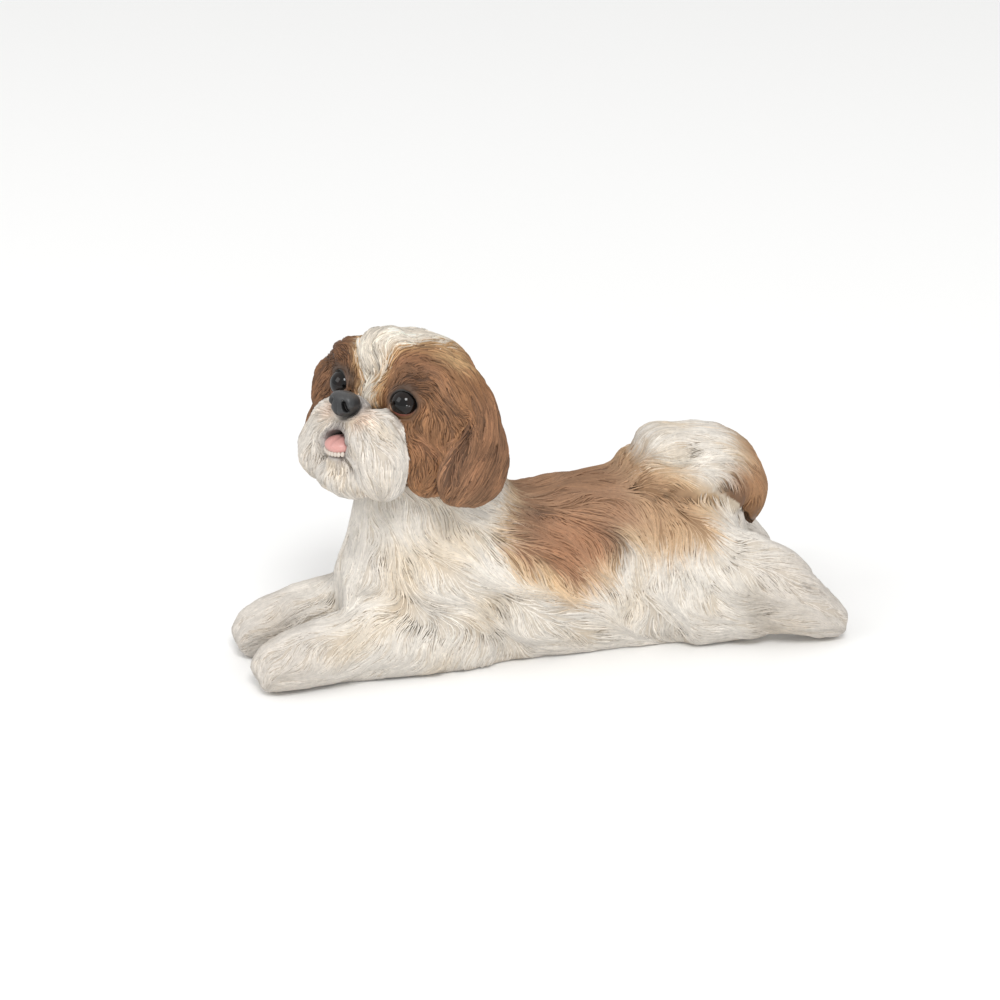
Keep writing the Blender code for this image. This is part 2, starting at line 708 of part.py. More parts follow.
def paint(obj, colour, roughness):
    material = bpy.data.materials.new(obj.name + "_paint")
    material.use_nodes = True
    shader = material.node_tree.nodes["Principled BSDF"]
    shader.inputs["Base Color"].default_value = (*colour, 1)
    shader.inputs["Roughness"].default_value = roughness
    shader.inputs["Metallic"].default_value = 0
    obj.data.materials.clear()
    obj.data.materials.append(material)


def part_body(body):
    """The torso, neck, forelegs and hind legs, cut apart on slanting planes."""
    floor = block("floor", [((0, 0, 0), (0, 0, -1))], 0)
    combine(body, floor, "INTERSECT")
    remove(floor)
    parts = {"torso": body}
    elbow, wrist = Vector((0, -0.022, 0)), Vector((0, -0.113, 0.054))
    along = wrist - elbow
    above = Vector((0, along.z, -along.y))
    for side, word in ((1, "left"), (-1, "right")):
        planes = [(elbow, above), ((0, 0, 0), (-side, 0, 0))]
        parts["foreleg_" + word] = part_off(body, "foreleg_" + word, planes)
        planes = [((side * 0.030, 0, 0), (-side, 0, 0.24)), ((0, 0.078, 0), (0, -1, 0.10))]
        parts["hindleg_" + word] = part_off(body, "hindleg_" + word, planes)
    parts["neck"] = part_off(body, "neck", [((0, -0.112, 0.084), (0, 0.22, -1))])
    return parts


def moved_to_origin(objects):
    """Centres the statue over the origin, from the bounds of all its pieces."""
    low = Vector((math.inf,) * 3)
    high = -low
    for obj in objects:
        for vert in obj.data.vertices:
            low = Vector(map(min, low, vert.co))
            high = Vector(map(max, high, vert.co))
    shift = Matrix.Translation((-(low.x + high.x) / 2, -(low.y + high.y) / 2, -low.z))
    for obj in objects:
        obj.data.transform(shift)
        obj.data.update()


def main():
    for obj in list(bpy.data.objects):
        bpy.data.objects.remove(obj)

    parts = face_surfaces()
    parts["torso"] = body_surface()
    parts["tail"] = tail_surface()
    parts.update(small_surfaces())
    face_lie = both_sides(head_strokes(), HEAD)
    strokes = {"torso": both_sides(body_strokes()), "tail": both_sides(tail_strokes()),
               "ear": both_sides(ear_strokes(), HEAD)}
    bare = [(HEAD @ Vector((side * EYE_PLACE[0], *EYE_PLACE[1:])), 0.012, 0.017) for side in (1, -1)]
    bare += [(HEAD @ Vector(NOSE_PLACE), 0.012, 0.015), (HEAD @ Vector(MOUTH_PLACE), 0.010, 0.013)]
    seats = {}
    seed = 0
    for name, obj in parts.items():
        kind = name.split("_")[0]
        plain = copied(obj, name + "_plain")
        if kind in LOCKS:
            seed += 1
            carve(obj, strokes.get(kind, face_lie), LOCKS[kind], seed, bare)
        simplified(obj, TRIANGLES[kind])
        seats[name] = seat_of(plain, obj, SEAT_TRIANGLES[kind])
        remove(plain)

    for side in (1, -1):
        lids = lids_surface(side)
        combine(parts["head"], lids, "UNION")
        remove(lids)
    clear_of(parts["tail"], [seats["torso"]])
    clear_of(parts["torso"], [seats[n] for n in ("head", "muzzle", "chin", "ear_left", "ear_right")])
    mouth = mouth_surface()
    for name in ("muzzle", "head", "chin"):
        combine(parts[name], mouth, "DIFFERENCE")
    set_in_head = ("ear_left", "ear_right", "muzzle", "chin", "eye_left", "eye_right", "nose")
    clear_of(parts["head"], [seats[n] for n in set_in_head])
    set_in_muzzle = ("chin", "ear_left", "ear_right", "eye_left", "eye_right", "nose", "tongue", "teeth")
    clear_of(parts["muzzle"], [seats[n] for n in set_in_muzzle])
    clear_of(parts["chin"], [seats["tongue"], seats["teeth"]])
    clear_of(parts["tongue"], [seats["teeth"]])
    for side in (1, -1):
        nostril = nostril_surface(side)
        combine(parts["nose"], nostril, "DIFFERENCE")
        remove(nostril)
    for obj in [mouth, *seats.values()]:
        remove(obj)
    parts.update(part_body(parts["torso"]))

    colours = {"torso": (TAN, 0.62), "neck": (CREAM, 0.62), "tail": (TAN, 0.62), "head": (BROWN, 0.60),
               "muzzle": (CREAM, 0.62), "chin": (CREAM, 0.62), "nose": (CHARCOAL, 0.45),
               "tongue": (PINK, 0.40), "teeth": (TOOTH, 0.40)}
    for name, obj in parts.items():
        kind = name.split("_")[0]
        if kind in ("foreleg", "hindleg"):
            paint(obj, CREAM, 0.62)
        elif kind == "ear":
            paint(obj, BROWN, 0.60)
        elif kind == "eye":
            paint(obj, GLASS, 0.06)
        else:
            paint(obj, *colours[kind])
    moved_to_origin(parts.values())


main()
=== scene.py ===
"""The painted resin shih tzu statue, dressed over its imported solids.

The skin is one surface made from the solids of the flesh. Fine carved strands lie on it along the lie
of the coat, and skin and strands take their paint from the same markings. Sizes are in metres. The nose
points along -Y, the dog's left side is +X, +Z is up.
"""

import math

import bmesh
import bpy
import numpy as np
from bpy.props import FloatProperty, FloatVectorProperty, IntProperty, PointerProperty
from mathutils import Matrix, Vector
from mathutils.bvhtree import BVHTree


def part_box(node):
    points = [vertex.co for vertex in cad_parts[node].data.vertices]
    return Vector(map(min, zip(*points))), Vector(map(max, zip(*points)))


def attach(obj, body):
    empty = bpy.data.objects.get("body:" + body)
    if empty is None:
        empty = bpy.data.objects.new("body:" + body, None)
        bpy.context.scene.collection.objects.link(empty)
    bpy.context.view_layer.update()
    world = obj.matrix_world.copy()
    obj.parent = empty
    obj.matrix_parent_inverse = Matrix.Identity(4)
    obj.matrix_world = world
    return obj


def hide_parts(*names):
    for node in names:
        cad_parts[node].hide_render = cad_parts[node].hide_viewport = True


bl_info = {
    "name": "Lying Shih Tzu Statue",
    "version": (1, 0, 0),
    "blender": (4, 5, 0),
    "location": "3D View > Sidebar > Statue",
    "description": "Dresses the cast statue of a lying shih tzu with its carved and painted coat",
    "category": "Add Mesh",
}

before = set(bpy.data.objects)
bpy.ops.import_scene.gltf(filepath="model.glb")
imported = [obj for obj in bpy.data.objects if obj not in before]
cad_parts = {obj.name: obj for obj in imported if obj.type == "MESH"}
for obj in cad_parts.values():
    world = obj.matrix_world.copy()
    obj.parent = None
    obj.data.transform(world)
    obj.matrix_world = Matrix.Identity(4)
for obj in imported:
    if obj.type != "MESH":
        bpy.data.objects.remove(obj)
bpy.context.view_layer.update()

FLESH = ("torso", "neck", "foreleg_left", "foreleg_right", "hindleg_left", "hindleg_right", "tail",
         "head", "ear_left", "ear_right", "muzzle", "chin")

# Places in head coordinates (left, forward, up), as in the part's source
HEAD_YAW = math.radians(30)
HEAD_PITCH = math.radians(15)
HEAD_CENTRE = Vector((-0.004, -0.0705, 0.1750))
EYE_PLACE = (0.0265, 0.0376, 0.0014)
EYE_TURN = math.radians(20)
NOSE_PLACE = (0, 0.0632, -0.0055)
MOUTH_PLACE = (0, 0.0660, -0.0300)
MOUTH_SIZE = (0.0094, 0.0200, 0.0083)

# Masses that close the creases between solids: (head or body, place, radii), on both sides
FILLS = (
    ("head", (0.040, -0.002, 0.018), (0.010, 0.016, 0.011)),
    ("head", (0.044, 0.010, 0.008), (0.010, 0.010, 0.010)),
    ("body", (0.010, 0.086, 0.106), (0.024, 0.018, 0.012)),
    ("body", (0.024, 0.108, 0.100), (0.010, 0.020, 0.012)),
    ("body", (0.026, 0.136, 0.092), (0.010, 0.010, 0.012)),
    ("body", (0.006, 0.098, 0.1225), (0.022, 0.018, 0.0120)),
    ("body", (0.000, -0.055, 0.150), (0.041, 0.022, 0.030)),
)

# Where the skin is smoothed more, on both sides: the ear comes out of the head without a step
EASED = (
    ("head", (0.052, -0.004, 0.020), (0.018, 0.024, 0.018)),
    ("body", (0.026, 0.120, 0.098), (0.020, 0.030, 0.016)),
    ("body", (0.010, 0.088, 0.116), (0.034, 0.022, 0.018)),
    ("body", (0.000, -0.036, 0.146), (0.060, 0.020, 0.020)),
)

# Creases, on both sides: (head or body, places along it, width, depth)
CREASES = (
    # behind the elbow, before the thigh, behind the hock, round the back of the haunch
    ("body", ((0.050, -0.030, 0.050), (0.050, -0.031, 0.025), (0.050, -0.029, 0.000)), 0.0050, 0.0032),
    ("body", ((0.058, 0.066, 0.045), (0.060, 0.070, 0.018), (0.058, 0.073, 0.000)), 0.0050, 0.0030),
    ("body", ((0.068, 0.138, 0.038), (0.070, 0.143, 0.020), (0.070, 0.150, 0.000)), 0.0090, 0.0030),
    ("body", ((0.050, 0.130, 0.088), (0.060, 0.130, 0.068), (0.064, 0.118, 0.056)), 0.0050, 0.0022),
    # over the foreleg, up from the thigh, between the forelegs
    ("body", ((0.024, -0.122, 0.052), (0.044, -0.100, 0.060), (0.050, -0.070, 0.052)), 0.0040, 0.0020),
    ("body", ((0.056, 0.062, 0.072), (0.058, 0.060, 0.050)), 0.0035, 0.0015),
    ("body", ((0.050, 0.052, 0.088), (0.055, 0.054, 0.072)), 0.0030, 0.0016),
    ("body", ((0.000, -0.134, 0.090), (0.000, -0.128, 0.050)), 0.0060, 0.0020),
    # the hollow in the tail's side, and the top of the ear where it comes out of the head
    ("body", ((0.034, 0.128, 0.092), (0.034, 0.134, 0.104)), 0.0060, 0.0026),
    ("head", ((0.044, -0.016, 0.027), (0.050, -0.006, 0.024), (0.057, 0.002, 0.018)), 0.0090, 0.0040),
    # between the cheek and the ear, and under the cheek's curl
    ("head", ((0.056, 0.014, -0.004), (0.056, 0.016, -0.030), (0.052, 0.018, -0.055)), 0.0035, 0.0030),
)

# Making
SEED = 11
RIM_SIDES = 3


def linear(hex_colour):
    """An sRGB hex colour as scene-linear red, green and blue."""
    parts = [int(hex_colour[i:i + 2], 16) / 255 for i in (1, 3, 5)]
    return tuple(c / 12.92 if c <= 0.04045 else ((c + 0.055) / 1.055) ** 2.4 for c in parts)


def head_matrix(centre):
    """Takes head coordinates (left, forward, up) to the statue's own."""
    forward = Vector((math.sin(HEAD_YAW), -math.cos(HEAD_YAW), 0))
    left = Vector((math.cos(HEAD_YAW), math.sin(HEAD_YAW), 0))
    nose_way = forward * math.cos(HEAD_PITCH) + Vector((0, 0, math.sin(HEAD_PITCH)))
    up = Vector((0, 0, math.cos(HEAD_PITCH))) - forward * math.sin(HEAD_PITCH)
    turn = Matrix((left, nose_way, up)).transposed().to_4x4()
    return Matrix.Translation(centre) @ turn


def statue_shift():
    """How far the part's source moved the statue to centre it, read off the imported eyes."""
    corners = [c for word in ("left", "right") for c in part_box("eye_" + word)]
    packed = sum(corners, Vector()) / len(corners)
    plain = head_matrix(HEAD_CENTRE)
    eyes = [plain @ Vector((side * EYE_PLACE[0], *EYE_PLACE[1:])) for side in (1, -1)]
    return packed - (eyes[0] + eyes[1]) / 2


SHIFT = statue_shift()
BODY = Matrix.Translation(SHIFT)
HEAD = head_matrix(HEAD_CENTRE + SHIFT)


def in_frame(points, matrix):
    """Points of the statue in the coordinates of the body or the head."""
    turn = np.array(matrix.inverted())
    return points @ turn[:3, :3].T + turn[:3, 3]


# The lie of the coat: comb strokes on the left side and the midline, (place, way, reach)

BODY_STROKES = [
    # throat and chest
    ((0.000, -0.118, 0.105), (0.10, -0.20, -1.0), 0.018),
    ((0.012, -0.128, 0.080), (0.15, -0.10, -1.0), 0.016),
    ((0.010, -0.126, 0.056), (0.30, 0.20, -1.0), 0.014),
    ((0.034, -0.100, 0.102), (0.20, 0.30, -1.0), 0.018),
    ((0.044, -0.060, 0.115), (0.20, 0.55, -1.0), 0.016),
    ((0.000, -0.030, 0.118), (0.10, 1.00, -0.1), 0.020),
    # the swirl of the shoulder, which turns down behind the elbow
    ((0.046, -0.080, 0.083), (0.10, 0.60, -1.0), 0.014),
    ((0.050, -0.073, 0.060), (0.00, 1.00, -0.4), 0.012),
    ((0.050, -0.050, 0.060), (0.00, 1.00, -0.4), 0.012),
    ((0.046, -0.048, 0.088), (0.20, 0.60, -0.9), 0.014),
    ((0.050, -0.034, 0.042), (0.00, 0.40, -1.0), 0.010),
    ((0.050, -0.032, 0.018), (0.00, 0.00, -1.0), 0.010),
    # foreleg, from the elbow to the paw
    ((0.048, -0.060, 0.030), (0.00, -0.35, -1.0), 0.012),
    ((0.046, -0.094, 0.026), (0.00, -0.60, -0.9), 0.014),
    ((0.046, -0.135, 0.022), (0.00, -0.90, -0.6), 0.016),
    ((0.025, -0.110, 0.050), (-0.20, -1.00, -0.2), 0.014),
    ((0.030, -0.155, 0.040), (0.10, -1.00, -0.3), 0.014),
    ((0.006, -0.140, 0.025), (0.00, -1.00, -0.4), 0.014),
    ((0.032, -0.180, 0.022), (0.05, -0.80, -0.5), 0.014),
    # back, and down over the saddle in an arc that turns back on itself
    ((0.000, 0.020, 0.110), (0.15, 1.00, 0.0), 0.020),
    ((0.000, 0.070, 0.113), (0.15, 1.00, 0.0), 0.018),
    ((0.034, -0.014, 0.106), (0.35, 1.00, -0.3), 0.014),
    ((0.035, 0.014, 0.106), (0.30, 1.00, -0.2), 0.014),
    ((0.035, 0.042, 0.106), (0.30, 1.00, -0.3), 0.014),
    ((0.030, 0.070, 0.110), (0.30, 1.00, -0.3), 0.012),
    ((0.052, 0.011, 0.085), (0.20, 0.70, -1.0), 0.014),
    ((0.054, 0.038, 0.088), (0.20, 0.55, -1.0), 0.012),
    ((0.057, 0.053, 0.076), (0.10, 0.00, -1.0), 0.010),
    ((0.057, 0.038, 0.057), (0.00, 0.35, -1.0), 0.012),
    ((0.052, -0.012, 0.066), (0.00, 0.80, -1.0), 0.014),
    ((0.055, 0.010, 0.043), (0.00, 1.00, -0.7), 0.012),
    ((0.056, 0.034, 0.032), (0.00, 1.00, -0.3), 0.010),
    ((0.058, 0.064, 0.052), (0.00, -0.15, -1.0), 0.010),
    ((0.058, 0.053, 0.030), (0.00, -0.50, -1.0), 0.010),
    ((0.052, -0.017, 0.027), (0.00, 0.40, -1.0), 0.010),
    ((0.055, 0.007, 0.014), (0.00, 1.00, -0.3), 0.012),
    ((0.056, 0.038, 0.012), (0.00, 1.00, 0.2), 0.012),
    # the swirl of the haunch
    ((0.040, 0.088, 0.100), (0.50, 0.50, -0.8), 0.012),
    ((0.052, 0.095, 0.082), (0.20, 0.10, -1.0), 0.012),
    ((0.060, 0.090, 0.063), (0.10, -0.25, -1.0), 0.010),
    ((0.063, 0.082, 0.040), (0.00, 0.20, -1.0), 0.010),
    ((0.065, 0.094, 0.025), (0.00, 0.80, -0.7), 0.010),
    ((0.068, 0.122, 0.020), (0.00, 1.00, -0.1), 0.012),
    ((0.064, 0.112, 0.052), (0.00, 0.60, -0.9), 0.010),
    # hind leg and rump
    ((0.052, 0.120, 0.080), (0.30, 0.90, -0.5), 0.012),
    ((0.056, 0.140, 0.070), (0.10, 0.90, -0.4), 0.014),
    ((0.064, 0.160, 0.050), (0.10, 0.90, -0.5), 0.014),
    ((0.070, 0.148, 0.030), (0.00, 1.00, -0.1), 0.012),
    ((0.066, 0.172, 0.035), (0.00, 1.00, -0.4), 0.014),
    ((0.065, 0.190, 0.015), (0.00, 1.00, -0.4), 0.014),
    ((0.030, 0.135, 0.085), (0.60, 0.50, -0.5), 0.016),
    ((0.012, 0.150, 0.055), (0.20, 0.50, -0.9), 0.018),
    ((0.036, 0.165, 0.030), (-0.10, 0.90, -0.4), 0.016),
]

TAIL_STROKES = [
    # up the rear rim and over the top
    ((0.000, 0.152, 0.062), (0.00, 0.35, 1.0), 0.014),
    ((0.000, 0.170, 0.090), (0.05, 0.00, 1.0), 0.014),
    ((0.000, 0.160, 0.120), (0.10, -0.60, 0.8), 0.014),
    ((0.000, 0.125, 0.138), (0.10, -1.00, 0.1), 0.016),
    ((0.000, 0.095, 0.132), (0.10, -1.00, -0.4), 0.014),
    # along the side, forwards
    ((0.034, 0.160, 0.085), (0.10, -0.10, 1.0), 0.010),
    ((0.034, 0.152, 0.108), (0.10, -0.70, 0.8), 0.010),
    ((0.030, 0.130, 0.122), (0.20, -1.00, 0.30), 0.012),
    ((0.030, 0.112, 0.112), (0.20, -1.00, 0.25), 0.012),
    ((0.026, 0.104, 0.108), (0.10, -1.00, 0.60), 0.008),
    ((0.026, 0.116, 0.100), (0.10, -1.00, 0.66), 0.008),
    ((0.026, 0.090, 0.116), (0.10, -1.00, 0.20), 0.010),
    ((0.030, 0.128, 0.100), (0.20, -0.60, 0.9), 0.008),
    ((0.032, 0.144, 0.094), (0.20, 0.20, 1.0), 0.008),
    ((0.010, 0.080, 0.120), (0.10, -1.00, -0.1), 0.010),
]

# In head coordinates
HEAD_STROKES = [
    # up between the eyes and back over the crown
    ((0.000, 0.050, 0.004), (0.05, 0.00, 1.0), 0.012),
    ((0.000, 0.040, 0.028), (0.10, -0.30, 1.0), 0.014),
    ((0.000, 0.010, 0.046), (0.20, -1.00, 0.2), 0.018),
    ((0.000, -0.030, 0.034), (0.05, -0.70, -0.7), 0.020),
    ((0.000, -0.044, 0.000), (0.00, 0.00, -1.0), 0.022),
    # brows, temples and cheeks
    ((0.022, 0.044, 0.024), (0.60, -0.20, 0.7), 0.012),
    ((0.030, 0.020, 0.038), (0.90, -0.60, -0.2), 0.016),
    ((0.040, 0.038, 0.018), (0.90, -0.50, -0.4), 0.012),
    ((0.050, 0.024, 0.006), (0.20, -0.40, -1.0), 0.014),
    ((0.037, 0.040, -0.016), (0.40, -0.60, -1.0), 0.010),
    ((0.046, 0.030, -0.030), (0.20, -0.20, -1.0), 0.012),
    ((0.046, 0.020, -0.045), (0.05, -0.10, -1.0), 0.014),
    ((0.042, 0.032, -0.058), (-0.10, 0.35, -1.0), 0.010),
    ((0.040, -0.025, 0.025), (0.60, -0.60, -0.7), 0.018),
    ((0.010, 0.030, -0.055), (0.10, -0.10, -1.0), 0.020),
    # muzzle, out from the nose and down past the mouth
    ((0.005, 0.060, 0.004), (0.30, -0.40, 1.0), 0.007),
    ((0.018, 0.060, -0.008), (1.00, -0.40, -0.1), 0.009),
    ((0.030, 0.050, -0.020), (0.70, -0.40, -0.8), 0.011),
    ((0.012, 0.067, -0.024), (0.50, -0.05, -1.0), 0.010),
    ((0.024, 0.058, -0.040), (0.35, -0.10, -1.0), 0.012),
    ((0.036, 0.044, -0.045), (0.15, -0.20, -1.0), 0.014),
    # chin
    ((0.000, 0.062, -0.054), (0.15, 0.00, -1.0), 0.010),
    ((0.014, 0.050, -0.064), (0.50, -0.50, -0.7), 0.010),
]

EAR_STROKES = [
    # an S: down from the crown, forwards across the ear, then down and under
    ((0.058, 0.004, 0.013), (0.30, -0.10, -1.0), 0.012),
    ((0.066, -0.008, -0.003), (0.00, 0.25, -1.0), 0.012),
    ((0.066, 0.020, -0.008), (0.00, 0.50, -1.0), 0.010),
    ((0.062, 0.032, -0.022), (0.00, 0.30, -1.0), 0.010),
    ((0.068, 0.006, -0.022), (0.00, 0.85, -1.0), 0.010),
    ((0.066, -0.014, -0.022), (0.00, 0.15, -1.0), 0.010),
    ((0.060, 0.033, -0.043), (0.00, 0.00, -1.0), 0.010),
    ((0.064, 0.016, -0.043), (0.00, 0.30, -1.0), 0.010),
    ((0.066, -0.004, -0.043), (0.00, 0.70, -1.0), 0.010),
    ((0.058, 0.022, -0.056), (0.00, -0.35, -1.0), 0.010),
    ((0.060, 0.002, -0.056), (0.00, 0.30, -1.0), 0.010),
    ((0.045, 0.000, -0.040), (0.00, 0.20, -1.0), 0.014),
]

# Each region of the coat: the solids it covers, its strokes and frame, the strand's length and width as
# shares of the settings, its points, its slot, whether it is two pieces, left and right, how
# wavy it is, and how deep its grooves are
REGIONS = {
    "coat_torso": (("torso",), BODY_STROKES, BODY, 1.15, 1.05, 8, "resin_tan", True, 0.9, 0.95),
    "coat_neck": (("neck",), BODY_STROKES, BODY, 0.90, 0.95, 8, "resin_cream", False, 0.8, 0.65),
    "coat_foreleg": (("foreleg_left", "foreleg_right"), BODY_STROKES, BODY, 0.75, 0.90, 7, "resin_cream",
                     True, 0.9, 0.50),
    "coat_hindleg": (("hindleg_left", "hindleg_right"), BODY_STROKES, BODY, 0.90, 0.95, 8, "resin_cream",
                     True, 0.7, 0.62),
    "coat_tail": (("tail",), TAIL_STROKES, BODY, 1.15, 0.90, 8, "resin_tan", False, 0.35, 0.95),
    "coat_head": (("head",), HEAD_STROKES, HEAD, 0.68, 1.10, 7, "resin_brown", True, 0.9, 2.2),
    "coat_ear": (("ear_left", "ear_right"), EAR_STROKES, HEAD, 0.95, 1.05, 8, "resin_brown", True, 0.4, 2.6),
    "coat_muzzle": (("muzzle", "chin"), HEAD_STROKES, HEAD, 0.72, 1.15, 7, "resin_cream", False, 0.4, 1.25),
}
# Strands end where they would run onto a solid of another group
GROUPS_OF_SOLIDS = {"head": 1, "ear": 1, "muzzle": 2, "chin": 2, "tail": 3}


def both_sides(strokes, matrix):
    """The strokes and their mirror images as arrays of places, ways and reaches."""
    places, ways, reaches = [], [], []
    turn = matrix.to_3x3()
    for place, way, reach in strokes:
        for side in (1, -1):
            places.append(matrix @ Vector((side * place[0], *place[1:])))
            ways.append((turn @ Vector((side * way[0], *way[1:]))).normalized())
            reaches.append(reach)
    return np.array(places), np.array(ways), np.array(reaches)


def unit(vectors):
    return vectors / (np.linalg.norm(vectors, axis=-1, keepdims=True) + 1e-12)


def lie(places, normals, strokes, wavy, coat):
    """The coat's direction at each place, along the surface, in long waves with short ones on them."""
    centres, ways, reaches = strokes
    squares = ((places[:, None, :] - centres[None]) ** 2).sum(axis=2)
    weights = np.exp(-squares / (2 * reaches ** 2)) + 1e-6 / (squares + 1e-4)
    way = weights @ ways
    way = unit(way - normals * (way * normals).sum(axis=1, keepdims=True))
    x, y, z = in_frame(places, BODY).T * (2 * math.pi / coat.wave_length)
    angle = coat.wave_turn * (np.sin(y + 1.7 * z) + 0.6 * np.sin(1.9 * x - z + 2))
    angle += coat.curl_turn * (np.sin(3.1 * y - 2.3 * z + 1.3 * x) + 0.7 * np.sin(2.7 * z + 3.9 * x + 1))
    return turned(way, normals, angle * wavy)


def turned(ways, normals, angles):
    """Directions turned about the normals."""
    across = np.cross(normals, ways)
    return ways * np.cos(angles)[:, None] + across * np.sin(angles)[:, None]


# Paint

def mottle(points, size, seed):
    """Soft blotches about size across, from -1 to 1."""
    rng = np.random.default_rng(seed)
    total = np.zeros(len(points))
    waves = 7
    for _ in range(waves):
        way = rng.normal(size=3)
        way /= np.linalg.norm(way)
        total += np.sin(points @ way * (math.pi / size) * rng.uniform(0.7, 1.4) + rng.uniform(0, 2 * math.pi))
    return total / math.sqrt(waves * 2)


def rise(value, low, high):
    """0 below low, 1 above high, and a smooth step between."""
    t = np.clip((value - low) / (high - low), 0, 1)
    return t * t * (3 - 2 * t)


def ball(points, centre, radii, softness=0.35):
    """1 inside an ellipsoid, fading to 0 outside it."""
    away = np.linalg.norm((points - np.array(centre)) / np.array(radii), axis=1)
    return 1 - rise(away, 1 - softness, 1 + softness)


def blend(colour, paint, share):
    return colour + (np.array(paint) - colour) * share[:, None]


# The wash is a thinned warm brown, so what it darkens turns warmer; the painted shade in the creases takes the same
# warm tint
WASH_TINT = np.array((0.88, 1.00, 1.17))


def relief_tones(colour, depth=1):
    """Tones of a strand's ridge, its edges and the ground, stronger on the browns than on the cream."""
    light = colour.mean(axis=-1, keepdims=True)
    span = (0.08, 0.55)
    depth = np.interp(light, (0.25, 0.55), (depth, min(depth, 1.25)))
    ridge = np.interp(light, span, (1.28, 1.05)) ** np.minimum(depth, 1.5)
    return [ridge] + [np.interp(light, span, tones) ** depth for tones in ((0.55, 0.78), (0.45, 0.66))]


# The saddle's edge on the flank, as (y, z) along the body, and its front and rear as (z, y)
SADDLE_LOWER = ((-0.040, 0.100), (-0.032, 0.074), (-0.021, 0.064), (-0.006, 0.055), (0.008, 0.047),
                (0.022, 0.036), (0.034, 0.042), (0.046, 0.060), (0.058, 0.070), (0.072, 0.064),
                (0.092, 0.066), (0.113, 0.069), (0.124, 0.084))
SADDLE_FRONT = ((0.070, -0.034), (0.094, -0.029), (0.106, -0.021), (0.112, -0.015))
# where the tail leaves the back, as (z, y) too
TAIL_LINE = ((0.092, 0.126), (0.101, 0.1147), (0.1084, 0.1036), (0.1155, 0.0925), (0.120, 0.060))
SADDLE_REAR = ((0.060, 0.112), (0.080, 0.119), *TAIL_LINE)


def body_paint(places, paints):
    """The paint of the body and tail, without what the head wears."""
    points = in_frame(places, BODY)
    x, y, z = np.abs(points[:, 0]), points[:, 1], points[:, 2]
    warm = mottle(points, 0.030, 1)
    colour = np.tile(np.array(paints["cream"]), (len(points), 1))
    colour = blend(colour, paints["warm_cream"], 0.5 * rise(warm, 0.0, 1.0))
    colour = blend(colour, paints["shade_grey"], 0.16 * rise(mottle(points, 0.024, 2), 0.2, 1.0))
    # painted shade: low on the legs and belly near the floor, and low at the front paws and hind feet, the white is
    # greyer
    colour = blend(colour, paints["shade_grey"], 0.12 * rise(-z, -0.030, -0.004))
    colour = blend(colour, paints["shade_grey"], 0.35 * rise(np.abs(y + 0.005), 0.125, 0.155) * rise(-z, -0.08, -0.05))
    wobble = 0.004 * mottle(points, 0.012, 3)
    lower = np.interp(y, *np.array(SADDLE_LOWER).T)
    front = np.interp(z, *np.array(SADDLE_FRONT).T)
    rear = np.interp(z, *np.array(SADDLE_REAR).T)
    depth = np.minimum(np.minimum(z - lower, y - front), rear - y) + wobble
    body = 1 - rise(z, 0.120, 0.124)
    colour = blend(colour, paints["golden"], 0.75 * body * rise(depth, -0.004, 0.005))
    haunch = rise(y, 0.058, 0.078)
    colour = blend(colour, paints["tan"], 0.75 * body * haunch * rise(depth, 0.002, 0.016))
    brown = (1 - haunch * 0.75) * rise(depth + 0.3 * wobble, 0.010, 0.022)
    colour = blend(colour, paints["brown"], 0.92 * body * brown)
    reddish = ball(points, (0.045, 0.022, 0.070), (0.030, 0.028, 0.026))
    colour = blend(colour, paints["red_brown"], 0.6 * body * brown * reddish)
    dark = np.maximum(ball(points, (0.030, -0.004, 0.096), (0.016, 0.014, 0.014), 0.6),
                      ball(points, (0.046, 0.050, 0.078), (0.012, 0.008, 0.014), 0.6))
    dark = np.maximum(dark, 0.7 * ball(points, (0.0, -0.008, 0.110), (0.020, 0.018, 0.014), 0.6))
    dark = np.maximum(dark, 0.8 * ball(points * (-1, 1, 1), (0.030, -0.004, 0.096), (0.016, 0.014, 0.014), 0.6))
    colour = blend(colour, paints["dark_brown"], 0.60 * body * dark)
    colour = blend(colour, paints["dark_brown"], 0.22 * body * brown * rise(z, 0.092, 0.108))
    # the head's brown runs a little way down the nape
    nape = rise(y, -0.062, -0.046) * (1 - rise(x, 0.030, 0.040)) * (1 - rise(y, -0.020, -0.005))
    colour = blend(colour, paints["golden"], 0.6 * nape * rise(z + wobble, 0.124, 0.134))
    return blend(colour, paints["head_brown"], nape * rise(z + wobble, 0.130, 0.140))


def tail_paint(places, paints):
    """The tail's paint: cream, brown along its rear edge, and golden where it leaves the back."""
    points = in_frame(places, BODY)
    plain = {word: paints["cream"] for word in ("golden", "tan", "brown", "red_brown", "dark_brown")}
    colour = body_paint(places, {**paints, **plain})
    y, z = points[:, 1], points[:, 2]
    wobble = 0.003 * mottle(points, 0.010, 4)
    edge = y - 0.126 - 0.35 * (z - 0.100) + wobble
    colour = blend(colour, paints["golden"], 0.6 * rise(edge, -0.006, 0.008))
    colour = blend(colour, paints["tail_brown"], 0.85 * rise(edge, 0.004, 0.022))
    streaks = rise(mottle(points * (1, 0.4, 1), 0.006, 9), 0.2, 1.0) * (1 - rise(edge, -0.010, 0.0))
    colour = blend(colour, paints["golden"], 0.32 * streaks)
    heights, places_along = np.array(TAIL_LINE[::-1]).T
    over = z - np.interp(y, places_along, heights) + 0.5 * wobble + rise(y, 0.120, 0.130)
    colour = blend(colour, paints["golden"], 0.6 * (1 - rise(over, 0.001, 0.007)))
    sides = np.stack([np.abs(points[:, 0]), y, z], axis=1)
    # painted shade in the hollow between the tail and the rump: brown, and darkest brown in its middle
    hollow = ball(sides, (0.034, 0.138, 0.096), (0.014, 0.010, 0.014), 0.7)
    colour = blend(colour, paints["brown"], 0.85 * hollow)
    colour = blend(colour, paints["dark_brown"], 0.4 * hollow ** 2)
    front = body_paint(places, paints)
    return front + (colour - front) * rise(over, -0.002, 0.002)[:, None]


